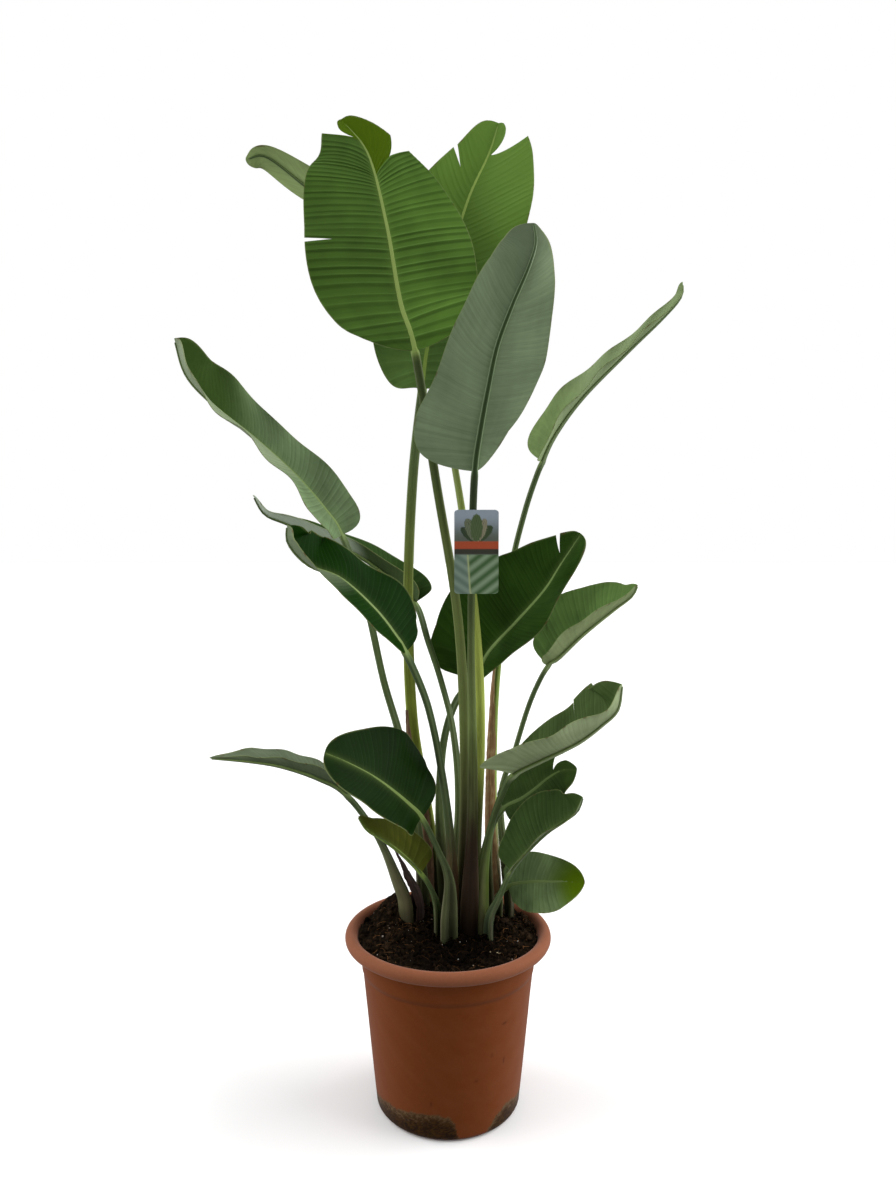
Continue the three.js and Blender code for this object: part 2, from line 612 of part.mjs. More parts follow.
  // The stalk's radius: full in the peat, slimmer at the neck, then tapering along the midrib
  radiusAt(run) {
    const [footRadius, neckRadius] = this.radii;
    const straight = FOOT_TOP - FOOT_DEPTH;
    if (run <= this.start) {
      const share = clamp((run - straight) / Math.max(1, this.start - straight), 0, 1);
      return footRadius + (neckRadius - footRadius) * Math.min(1, share * 1.6);
    }
    const share = (run - this.start) / this.length;
    return RIB_TIP_RADIUS + (neckRadius * 0.85 - RIB_TIP_RADIUS) * (1 - share) ** 0.8;
  }

  // The runs of the stalk's rings: one in the peat, one at the foot's top, then evenly up to the blade
  stalkRuns() {
    const straight = FOOT_TOP - FOOT_DEPTH;
    const steps = Math.max(2, Math.round((this.start - straight) / STALK_RING_SPACING));
    const runs = [0];
    for (let k = 0; k <= steps; k += 1) {
      runs.push(straight + ((this.start - straight) * k) / steps);
    }
    return runs;
  }

  // The stalk and midrib: a round-backed tube with a channel along its upper side, which closes at the blade.
  // Beyond the neck its rings stand at the blade's own stations, so both follow the same line.
  stalkGeometry() {
    const ribRuns = this.stations().slice(1, -1).map((t) => this.start + this.ribRun(t));
    const runs = [...this.stalkRuns(), ...ribRuns.filter((run) => run > this.start + 4)];
    const rings = runs.map((run) => {
      const { point, normal, right } = this.frameAt(run);
      const radius = this.radiusAt(run);
      const onBlade = clamp((run - this.start) / NECK_BLEND + 1, 0, 1);
      const shoulder = SHOULDER_HEIGHT;
      const channel = shoulder - CHANNEL_DEPTH * (1 - onBlade);
      const section = [
        [-0.6, shoulder], [0, channel], [0.6, shoulder], [1, -0.1], [0.52, -0.85], [-0.52, -0.85], [-1, -0.1],
      ];
      const sink = onBlade * (shoulder * radius - BLADE_THICKNESS * 0.3);
      return section.map(([across, up]) => point.clone()
        .addScaledVector(right, across * radius)
        .addScaledVector(normal, up * radius - sink));
    });
    return loftGeometry(rings);
  }

  solid() {
    return solidFrom(this.stalkGeometry()).add(solidFrom(this.bladeGeometry()));
  }

  // The plain hole that the stalk stands in, wide enough for a dry sheath where there is one
  holeGeometry(sheath) {
    const outer = sheath ? sheathRadius(sheath, this.radii[0]) + SHEATH_THICKNESS : this.radii[0];
    const radius = (outer + CLEARANCE) / Math.cos(Math.PI / HOLE_SIDES);
    return uprightCylinder(radius, FOOT_DEPTH - CLEARANCE, FOOT_TOP + 30, HOLE_SIDES, ...this.foot);
  }
}

// Dry sheath: a thin curved shell that clasps one stalk and narrows to a torn point

// The radius of the sheath's inner corners, so that its flats keep clear of the stalk
function sheathRadius(sheath, stalkRadius) {
  return (stalkRadius + SHEATH_GAP) / Math.cos(radians(sheath.spread) / SHEATH_FLATS / 2);
}

function sheathSolid(sheath, leaf) {
  const runs = leaf.stalkRuns().slice(0, sheath.rings);
  const rings = runs.map((run, k) => {
    const rise = k / (runs.length - 1);
    const { point, direction } = leaf.frameAt(run);
    const facing = new THREE.Vector3(...sheath.toward, 0);
    facing.addScaledVector(direction, -facing.dot(direction)).normalize();
    const sideways = new THREE.Vector3().crossVectors(direction, facing);
    const spread = radians(sheath.spread) * (1 - (1 - SHEATH_TIP_SHARE) * rise * rise);
    const inner = sheathRadius(sheath, leaf.radiusAt(run));
    const arc = (radius) => Array.from({ length: SHEATH_FLATS + 1 }, (_, j) => {
      const angle = spread * (j / SHEATH_FLATS - 0.5);
      return point.clone()
        .addScaledVector(facing, radius * Math.cos(angle))
        .addScaledVector(sideways, radius * Math.sin(angle));
    });
    return [...arc(inner), ...arc(inner + SHEATH_THICKNESS).reverse()];
  });
  return solidFrom(loftGeometry(rings));
}

// Label: a rounded card that hangs from a loop of the same card round one stalk

function labelSolid(leaf) {
  let run = 0;
  while (leaf.frameAt(run).point.z < LABEL_TOP) {
    run += 1;
  }
  const { point } = leaf.frameAt(run);
  const [w, h, c] = [LABEL_WIDTH / 2, LABEL_HEIGHT, LABEL_CORNER];
  const outline = new THREE.Shape();
  outline.absarc(w - c, -c, c, Math.PI / 2, 0, true);
  outline.absarc(w - c, -h + c, c, 0, -Math.PI / 2, true);
  outline.absarc(-w + c, -h + c, c, -Math.PI / 2, -Math.PI, true);
  outline.absarc(-w + c, -c, c, Math.PI, Math.PI / 2, true);
  const cardSizes = { depth: LABEL_THICKNESS, bevelEnabled: false, curveSegments: 3 };
  const card = new THREE.ExtrudeGeometry(outline, cardSizes);
  card.rotateX(Math.PI / 2);
  card.translate(LABEL_SHIFT, -LABEL_LOOP_RADIUS, LABEL_LOOP_HEIGHT / 2);
  const ring = new THREE.Shape();
  ring.absarc(0, 0, LABEL_LOOP_RADIUS + LABEL_THICKNESS, 0, 2 * Math.PI, false);
  const opening = new THREE.Path();
  opening.absarc(0, 0, LABEL_LOOP_RADIUS, 0, 2 * Math.PI, true);
  ring.holes.push(opening);
  const loopSizes = { depth: LABEL_LOOP_HEIGHT, bevelEnabled: false, curveSegments: 12 };
  const loop = new THREE.ExtrudeGeometry(ring, loopSizes);
  loop.translate(0, 0, -LABEL_LOOP_HEIGHT / 2);
  card.translate(point.x, point.y, point.z);
  loop.translate(point.x, point.y, point.z);
  return solidFrom(card).add(solidFrom(loop));
}

// The whole plant in its pot

function namedMesh(name, solid, color, roughness) {
  const material = new THREE.MeshStandardMaterial({ color, roughness, metalness: 0 });
  const mesh = new THREE.Mesh(geometryFrom(solid), material);
  mesh.name = name;
  return mesh;
}

const leaves = LEAVES.map((sizes) => new Leaf(sizes));
const leafNamed = (name) => leaves.find((leaf) => leaf.name === name);
const holes = leaves.map((leaf) => leaf.holeGeometry(SHEATHS.find((sheath) => sheath.leaf === leaf.name)));

const plant = new THREE.Group();
plant.add(namedMesh('pot', potSolid(), POT_TERRACOTTA, 0.75));
plant.add(namedMesh('soil', soilSolid(holes), PEAT_BROWN, 1));
for (const leaf of leaves) {
  plant.add(namedMesh(leaf.name, leaf.solid(), LEAF_GREEN, 0.45));
}
for (const sheath of SHEATHS) {
  plant.add(namedMesh(sheath.name, sheathSolid(sheath, leafNamed(sheath.leaf)), DRY_BROWN, 0.8));
}
plant.add(namedMesh('plant_label', labelSolid(leafNamed('leaf_tall_right')), LABEL_GREEN, 0.4));

export default plant;
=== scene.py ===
"""Potted bird of paradise: the looks of its leaves, dry leaf bases, peat, pot and label.

Each leaf follows one grown line, from its foot in the peat to the tip of its midrib. Sizes are millimetres
in the frame's axes, and every mesh is turned into metres when it is made. Colours are linear.
"""

import logging
import math
from dataclasses import dataclass, replace
from enum import Enum
from functools import cache
from typing import Sequence

import bpy
import numpy as np
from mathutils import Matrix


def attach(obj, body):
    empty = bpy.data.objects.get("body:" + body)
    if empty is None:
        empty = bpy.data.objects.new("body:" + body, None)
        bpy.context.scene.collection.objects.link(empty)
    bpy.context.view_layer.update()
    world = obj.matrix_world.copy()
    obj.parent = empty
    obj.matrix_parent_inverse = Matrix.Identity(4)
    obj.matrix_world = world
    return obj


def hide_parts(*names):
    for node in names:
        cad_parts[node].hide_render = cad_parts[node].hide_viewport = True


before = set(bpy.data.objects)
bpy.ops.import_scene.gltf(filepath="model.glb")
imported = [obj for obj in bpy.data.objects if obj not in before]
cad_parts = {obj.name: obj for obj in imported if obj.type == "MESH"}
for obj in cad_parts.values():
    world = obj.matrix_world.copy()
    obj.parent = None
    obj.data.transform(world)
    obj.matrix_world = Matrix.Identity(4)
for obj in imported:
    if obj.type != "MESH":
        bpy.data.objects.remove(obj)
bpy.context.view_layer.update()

BODY = "root"
METRE = 0.001
FULL_TURN = 2 * math.pi
WELD = 0.004
LOG = logging.getLogger("bird_of_paradise")

Array = np.ndarray
Colour = tuple[float, float, float]
Place = tuple[float, float, float]


# Numbers that every leaf shares

FOOT_DEPTH = 230.0
FOOT_TOP = 292.0
CLASP_TOP = 215.0
TEAR_FADE = 0.05
LOBE_SPAN = 0.16
RIGHT_RIPPLE_SHIFT = 1.7
RIB_TIP_RADIUS = 1.6
RIB_END = 0.985
BLADE_THICKNESS = 0.9
TIGHTENING = 0.3
PLEAT_STEPS = np.array([0.0, 0.1, 0.3, 0.5, 0.7, 0.9])
ROW_SHARES = np.array([0.0, 0.02, 0.05, *np.linspace(0.10, 0.96, 12), 0.985, 1.0])
END_STATIONS = np.array([0.0004, 0.001, 0.002])
STALK_POINTS = 20
STALK_RING_STEP = 9.0
BACK_HEIGHT, CHANNEL_HEIGHT = 0.95, 0.62
CLASP_WIDTH = 0.3
PAPERY: Colour = (0.28, 0.24, 0.15)
WITHERED: Colour = (0.10, 0.055, 0.020)
VEIN_PALENESS = 0.03
VEIN_STRAY = 0.44
TEAR_CLEARANCE = 0.0015
NECK_BLEND = 14.0
CLASP_FULL = 70.0
SHADED_RUNS = (34.0, 80.0)


class Side(Enum):
    """The two halves of a blade, as seen from its upper side with the tip up."""

    LEFT = -1
    RIGHT = 1


class Sheet(Enum):
    """The two skins of a blade."""

    UPPER = 1
    UNDER = -1


# Arithmetic on whole arrays


def unit(vectors: Array) -> Array:
    """Scale each vector of the last axis to length one."""
    return vectors / np.maximum(np.linalg.norm(vectors, axis=-1, keepdims=True), 1e-12)


def together(*parts: Array | float) -> Array:
    """Set numbers or arrays side by side in a new last axis, each broadcast to the shape of all."""
    return np.stack(np.broadcast_arrays(*parts), -1)


def angles(count: int) -> Array:
    """Give evenly spaced angles once round."""
    return np.linspace(0.0, FULL_TURN, count, endpoint=False)


def turned(radius: Array | float, height: Array | float, angle: Array | float) -> Array:
    """Give the places at a radius and a height, turned by an angle round the upright axis."""
    return together(radius * np.cos(angle), radius * np.sin(angle), height)


def through(values: Sequence, t: Array) -> Array:
    """Carry a smooth curve through evenly spaced values.

    Between two neighbours it is a cubic, whose slope at each is half the step from the value before to the one after.

    Args:
        values: Numbers or vectors at even steps from 0 to 1.
        t: Places from 0 to 1.

    Returns:
        One for each place.
    """
    known = np.asarray(values, float)
    t = np.clip(np.asarray(t, float), 0.0, 1.0)
    if len(known) == 1:
        return np.broadcast_to(known[0], t.shape + known[0].shape).copy()
    ends = np.concatenate([[2 * known[0] - known[1]], known, [2 * known[-1] - known[-2]]])
    last = len(known) - 1
    cell = np.minimum((t * last).astype(int), last - 1)
    s = t * last - cell
    if known.ndim > 1:
        s = s[..., None]
    before, start, end, after = (ends[cell + k] for k in range(4))
    slope_in, slope_out, rise = (end - before) / 2, (after - start) / 2, end - start
    return (start + slope_in * s + (3 * rise - 2 * slope_in - slope_out) * s**2
            + (slope_in + slope_out - 2 * rise) * s**3)


def waver(x: Array, seed: int, octaves: int = 3) -> Array:
    """Give an irregular wave between about -1 and 1: a sum of sines of rising pitch and chance phase.

    Args:
        x: Turns along it.
        seed: Which wave.
        octaves: How many sines.

    Returns:
        Its height.
    """
    chance = np.random.default_rng(seed)
    total, weight = np.zeros_like(np.asarray(x, float)), 0.0
    for k in range(octaves):
        pitch = FULL_TURN * 1.9**k * (0.85 + 0.3 * chance.random())
        total += 0.6**k * np.sin(pitch * x + FULL_TURN * chance.random())
        weight += 0.6**k
    return total / weight


def mottle(x: Array, y: Array, seed: int, octaves: int = 4) -> Array:
    """Give soft blotches between about -1 and 1: sines that run in chance directions, added up.

    Args:
        x: One place, in blotches.
        y: The other place.
        seed: Which blotches.
        octaves: How many sizes of blotch.

    Returns:
        The value at each place.
    """
    chance = np.random.default_rng(seed)
    total, weight = np.zeros(np.broadcast(x, y).shape), 0.0
    for k in range(octaves):
        for _ in range(3):
            turn, pitch = FULL_TURN * chance.random(), 1.8**k * (0.8 + 0.4 * chance.random())
            along = x * math.cos(turn) + y * math.sin(turn)
            total += 0.6**k * np.sin(FULL_TURN * pitch * along + FULL_TURN * chance.random())
        weight += 1.7 * 0.6**k
    return total / weight


def patches(x: Array, y: Array, seed: int, octaves: int = 4) -> Array:
    """Give the blotches of mottle() between about 0 and 1."""
    return 0.5 + 0.5 * mottle(x, y, seed, octaves)


def streaks(x: Array, seed: int, octaves: int = 3) -> Array:
    """Give the wave of waver() between about 0 and 1."""
    return 0.5 + 0.5 * waver(x, seed, octaves)


def fade(x: Array, low: float, high: float) -> Array:
    """Rise smoothly from 0 at low to 1 at high; low may be the larger."""
    s = np.clip((x - low) / (high - low), 0.0, 1.0)
    return s * s * (3 - 2 * s)


def bell(x: Array, middle: float, width: float) -> Array:
    """Rise to 1 at the middle and fall to nothing on both sides, as e to the minus square."""
    return np.exp(-(((x - middle) / width) ** 2))


def blend(first: Array | Colour, second: Array | Colour, share: Array) -> Array:
    """Mix two colours, or arrays of them, by a share from 0 to 1."""
    share = np.clip(np.asarray(share, float), 0.0, 1.0)[..., None]
    return np.asarray(first, float) * (1 - share) + np.asarray(second, float) * share


# Skins and pieces


def merged(points: Array, faces: Array) -> tuple[Array, Array]:
    """Merge points that share a place, and drop triangles that lose a corner by it.

    Args:
        points: Points, one a row.
        faces: Triangles by point number.

    Returns:
        Which points stay, and the triangles between them.
    """
    keys = np.round(points / WELD).astype(np.int64)
    _, kept, number = np.unique(keys, axis=0, return_index=True, return_inverse=True)
    faces = number.reshape(-1)[faces]
    return kept, faces[(faces != np.roll(faces, 1, axis=1)).all(axis=1)]


@dataclass
class Skin:
    """A closed skin of triangles: its points, in rows of any shape, their colours or one for all, their places on
    the surface, which patterns follow (seen from above if none are given), and the number of its material.
    """

    points: Array
    faces: Array
    tone: Array | Colour
    surface: Array | None = None
    material: int = 0

    def __post_init__(self) -> None:
        """Put each point in a row of its own, and turn the faces out: their signed volume is above zero."""
        surface = self.points[..., :2] * METRE if self.surface is None else self.surface
        self.surface = surface.reshape(-1, 2)
        self.tone = np.broadcast_to(self.tone, self.points.shape).reshape(-1, 3)
        self.points = self.points.reshape(-1, 3)
        a, b, c = (self.points[self.faces[:, k]] for k in range(3))
        if np.einsum("ij,ij->i", a, np.cross(b, c)).sum() < 0:
            self.faces = self.faces[:, ::-1]

    def welded(self) -> "Skin":
        """Give the same skin with the points that share a place merged."""
        kept, faces = merged(self.points, self.faces)
        return Skin(self.points[kept], faces, self.tone[kept], self.surface[kept], self.material)


def grid_faces(rows: int, columns: int, round_rows: bool = False, round_columns: bool = False) -> Array:
    """Give the triangles of a grid of points numbered row by row, two a cell, from the cell's first point.

    Args:
        rows: How many rows of points.
        columns: How many points in a row.
        round_rows: Whether the last row joins the first.
        round_columns: Whether a row's last point joins its first.

    Returns:
        Triangles by point number.
    """
    r = np.arange(rows if round_rows else rows - 1)[:, None]
    c = np.arange(columns if round_columns else columns - 1)[None, :]
    r2, c2 = (r + 1) % rows, (c + 1) % columns
    quads = together(r * columns + c, r * columns + c2, r2 * columns + c2, r2 * columns + c).reshape(-1, 4)
    return np.concatenate([quads[:, [0, 1, 2]], quads[:, [0, 2, 3]]])


def tube_faces(count: int, around: int) -> Array:
    """Give the triangles of a tube of rings, each end shut by a fan to one more point.

    Args:
        count: How many rings.
        around: How many points in a ring.

    Returns:
        Triangles by point number; the two more points come last.
    """
    k, first = np.arange(around), count * around
    after, end = (k + 1) % around, first - around
    return np.concatenate([grid_faces(count, around, round_columns=True), together(first, after, k),
                           together(first + 1, end + k, end + after)])


def tube(rings: Array, tone: Array, surface: Array, material: int = 0) -> Skin:
    """Join rings of points into a closed tube, each end shut by a fan to its ring's middle.

    Args:
        rings: Rings by points by place.
        tone: Colour of each point.
        surface: Surface place of each point.
        material: Its material's number.

    Returns:
        The closed skin.
    """
    points, tone, surface = (np.concatenate([rows.reshape(-1, rows.shape[-1]), rows[[0, -1]].mean(axis=1)])
                             for rows in (rings, tone, surface))
    return Skin(points, tube_faces(*rings.shape[:2]), tone, surface, material)


def slab(middle: Array, normal: Array, thickness: float, tones: Sequence[Array], surface: Array,
         cuts: Sequence[int] = ()) -> Skin:
    """Give a sheet its thickness: two skins half a thickness apart, joined along every open edge.

    Args:
        middle: Columns by rows by place of its middle.
        normal: The upper side's direction at each point.
        thickness: How thick it is.
        tones: Colours of the upper and the under skin.
        surface: Surface place of each point.
        cuts: The columns after which it stays open.

    Returns:
        The closed skin.
    """
    flat, faces = middle.reshape(-1, 3), grid_faces(*middle.shape[:2])
    kept, faces = merged(flat, faces[~np.isin(faces[:, 0] // middle.shape[1], cuts)])
    count = len(kept)
    edges = np.concatenate([faces[:, [0, 1]], faces[:, [1, 2]], faces[:, [2, 0]]])
    twins = np.isin(edges[:, 0] * count + edges[:, 1], edges[:, 1] * count + edges[:, 0])
    a, b = edges[~twins].T
    offset = normal.reshape(-1, 3)[kept] * thickness / 2
    return Skin(np.concatenate([flat[kept] + offset, flat[kept] - offset]),
                np.concatenate([faces, faces[:, ::-1] + count, together(a, a + count, b + count),
                                together(a, b + count, b)]),
                np.concatenate([tone.reshape(-1, 3)[kept] for tone in tones]),
                np.tile(surface.reshape(-1, 2)[kept], (2, 1)))


def make_piece(name: str, skins: Sequence[Skin], finishes: Sequence["Finish"],
               nodes: Sequence[str] = (), crease: float = 50.0) -> None:
    """Put skins into one smooth mesh object in metres, parent it to the body, and hide the parts that it stands for.

    Args:
        name: The piece's name.
        skins: Its closed skins.
        finishes: Its materials, as the skins number them.
        nodes: The nodes that it stands for.
        crease: Edges that bend by more degrees than this stay sharp.
    """
    starts = np.cumsum([0] + [len(skin.points) for skin in skins])
    points, tone, surface = (np.concatenate([getattr(skin, part) for skin in skins])
                             for part in ("points", "tone", "surface"))
    faces = np.concatenate([skin.faces + start for skin, start in zip(skins, starts)])
    numbers = np.repeat([skin.material for skin in skins], [len(skin.faces) for skin in skins])
    mesh = bpy.data.meshes.new(name)
    mesh.vertices.add(len(points))
    mesh.vertices.foreach_set("co", points.ravel() * METRE)
    mesh.loops.add(faces.size)
    mesh.loops.foreach_set("vertex_index", faces.ravel())
    mesh.polygons.add(len(faces))
    mesh.polygons.foreach_set("loop_start", np.arange(len(faces)) * 3)
    mesh.polygons.foreach_set("material_index", numbers)
    mesh.polygons.foreach_set("use_smooth", np.ones(len(faces), bool))
    layer = mesh.uv_layers.new(name="surface")
    layer.data.foreach_set("uv", surface[faces.ravel()].astype(np.float32).ravel())
    colours = mesh.color_attributes.new("tone", "FLOAT_COLOR", "POINT")
    rgba = np.insert(np.clip(tone, 0.0, 1.0), 3, 1.0, axis=1)
    colours.data.foreach_set("color", rgba.astype(np.float32).ravel())
    mesh.update(calc_edges=True)
    mesh.validate()
    mesh.set_sharp_from_angle(angle=math.radians(crease))
    for finish in finishes:
        mesh.materials.append(finish.material())
    piece = bpy.data.objects.new(name, mesh)
    bpy.context.scene.collection.objects.link(piece)
    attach(piece, BODY)
    if nodes:
        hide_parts(*nodes)
    LOG.info("%s: %d triangles", name, len(faces))


# Finishes

FILM_ROUGHNESS = 0.4
NOISE = {"Scale": 1.0, "Detail": 5.0, "Roughness": 0.6}
GRAIN_FROM, GRAIN_TO = 0.3, 0.7


def wired(tree: bpy.types.NodeTree, kind: str | bpy.types.Node, **inputs: object) -> bpy.types.Node:
    """Add a shader node and set its inputs: a socket is linked to the input, anything else is its value.

    Args:
        tree: The node tree.
        kind: The new node's kind, or a node that is there.
        inputs: What each input gets, with _ for a space in its name.

    Returns:
        The node.
    """
    node = tree.nodes.new("ShaderNode" + kind) if isinstance(kind, str) else kind
    for name, value in inputs.items():
        socket = node.inputs[name.replace("_", " ")]
        if isinstance(value, bpy.types.NodeSocket):
            tree.links.new(value, socket)
        else:
            socket.default_value = value
    return node


@dataclass(frozen=True)
class Finish:
    """A surface whose colour is the piece's own tone, broken up by fine procedural grain.

    Attributes:
        stray: How far the roughness strays either way.
        grain: How far grain darkens and lightens the tone.
        scale: Grain repeats per metre, or along the two surface directions.
        relief: Bump strength.
        depth: Bump depth in metres.
        film: Weight of the dusty film that pales it where it is seen aslant.
    """

    name: str
    roughness: float
    stray: float
    grain: float
    scale: float | tuple[float, float]
    relief: float
    depth: float
    sheen: float
    film: float = 0.0

    @cache
    def material(self) -> bpy.types.Material:
        """Build the material once: noise scales the tone, strays the roughness and raises the bump.

        Returns:
            The material.
        """
        material = bpy.data.materials.new(self.name)
        material.use_nodes = True
        tree = material.node_tree
        tone, colour = wired(tree, "VertexColor"), wired(tree, "VectorMath")
        tone.layer_name, colour.operation = "tone", "SCALE"
        along = isinstance(self.scale, tuple)
        mapping = wired(tree, "Mapping", Vector=wired(tree, "TexCoord").outputs["UV" if along else "Object"],
                        Scale=(*self.scale, 1.0) if along else (self.scale,) * 3)
        noise = wired(tree, "TexNoise", Vector=mapping.outputs["Vector"], **NOISE).outputs["Fac"]
        spread = wired(tree, "MapRange", Value=noise, From_Min=GRAIN_FROM, From_Max=GRAIN_TO,
                       To_Min=1.0 - self.grain, To_Max=1.0 + self.grain)
        rough = wired(tree, "MapRange", Value=noise, To_Min=self.roughness - self.stray,
                      To_Max=self.roughness + self.stray)
        bump = wired(tree, "Bump", Height=noise, Strength=self.relief, Distance=self.depth)
        wired(tree, colour, Vector=tone.outputs["Color"], Scale=spread.outputs["Result"])
        wired(tree, tree.nodes["Principled BSDF"], Base_Color=colour.outputs["Vector"],
              Roughness=rough.outputs["Result"], Normal=bump.outputs["Normal"],
              Specular_IOR_Level=self.sheen, Sheen_Weight=self.film, Sheen_Roughness=FILM_ROUGHNESS)
        return material


BLADE_WAX = Finish("leaf_blade_wax", 0.46, 0.06, 0.07, (300.0, 3.0), 0.05, 0.0002, 0.03)
STALK_SKIN = Finish("stalk_skin", 0.46, 0.06, 0.12, (6.0, 40.0), 0.2, 0.0003, 0.10)
DRY_PAPER = Finish("dry_leaf_base", 0.75, 0.08, 0.30, (8.0, 30.0), 0.6, 0.0008, 0.3)
PEAT = Finish("loose_peat", 0.95, 0.04, 0.5, 900.0, 0.9, 0.0010, 0.02)
PERLITE = Finish("perlite", 0.85, 0.05, 0.10, 900.0, 0.4, 0.0004, 0.3)
POT_PLASTIC = Finish("pot_plastic", 0.60, 0.08, 0.05, 260.0, 0.1, 0.0002, 0.04, 0.13)
LABEL_CARD = Finish("label_card", 0.32, 0.03, 0.02, 500.0, 0.03, 0.0001, 0.5)


# Leaves


class GrownLine:
    """A smooth line through points, read by the run along it in millimetres."""

    PER_POINT = 24
    REACH = 4.0

    def __init__(self, points: Sequence[Place]) -> None:
        """Lay the line as through() does, and measure its runs.

        Args:
            points: Places from foot to tip.
        """
        self.line = through(points, np.linspace(0.0, 1.0, self.PER_POINT * (len(points) - 1) + 1))
        steps = np.linalg.norm(np.diff(self.line, axis=0), axis=1)
        self.runs = np.concatenate([[0.0], np.cumsum(steps)])
        self.length = float(self.runs[-1])

    def run_at_point(self, number: int) -> float:
        """Give the run at one of the points that the line was laid through."""
        return float(self.runs[number * self.PER_POINT])

    def at(self, run: Array) -> Array:
        """Give the places at runs along the line."""
        return np.stack([np.interp(run, self.runs, self.line[:, k]) for k in range(3)], -1)

    def direction(self, run: Array) -> Array:
        """Give the directions at runs along the line, each between places a reach before and after."""
        start = np.clip(np.asarray(run, float) - self.REACH, 0.0, self.length - 2 * self.REACH)
        return unit(self.at(start + 2 * self.REACH) - self.at(start))


@dataclass(frozen=True)
class Half:
    """One half of a blade: half widths and, in degrees, its rise from flat at even steps from base to tip, how much
    more it bends towards its edge, and how far its lobe reaches back past the stalk's end.
    """

    widths: tuple[float, ...]
    fold: tuple[float, ...]
    curl: float
    lobe: float


@dataclass(frozen=True)
class Tear:
    """A split along a side vein: its side, place, inner end, opening, and what width is left beyond it."""

    side: Side
    at: float
    start: float
    gap: float
    beyond: float


@dataclass(frozen=True)
class LeafLook:
    """The colours and relief of one leaf.

    Attributes:
        upper: Upper side where it is darkest.
        edge: The thin margin line.
        foot: Stalk at the peat.
        low: Stalk above its foot.
        neck: Stalk at the blade.
        pleat: Height of the pleats.
        spacing: Mean distance between side veins.
        vein_share: How strongly the vein lines show.
        hollow: How dark the painted shade is in the band below each vein, where the pleat turns down.
        halves: Painted shade and sheen: how much darker or lighter the left and the right half of the upper side are
            drawn.
        tip_from: Where the tip's colour starts and is full on each half, as shares of the length.
        pale_half: Which half's upper side is as pale as the under side, and where that starts and is full.
        foot_reach: How far up the stalk the foot's colour goes. Where it reaches far up, that dark colour is partly
            the stalks' own purple-brown and partly painted shade among the crowded stalks.
    """

    upper: Colour = (0.030, 0.062, 0.014)
    under: Colour = (0.155, 0.200, 0.115)
    rib: Colour = (0.200, 0.280, 0.090)
    rib_under: Colour = (0.100, 0.150, 0.060)
    edge: Colour = (0.240, 0.290, 0.110)
    foot: Colour = (0.045, 0.048, 0.020)
    low: Colour = (0.100, 0.140, 0.050)
    neck: Colour = (0.080, 0.120, 0.045)
    pleat: float = 0.25
    spacing: float = 8.0
    vein_share: float = 0.3
    hollow: float = 0.25
    halves: tuple[float, float] = (1.0, 1.0)
    tip: Colour = (0.060, 0.110, 0.020)
    tip_from: tuple[float, float, float, float] = (1.1, 1.2, 1.1, 1.2)
    pale_half: tuple[Side, float, float] | None = None
    foot_reach: float = 230.0


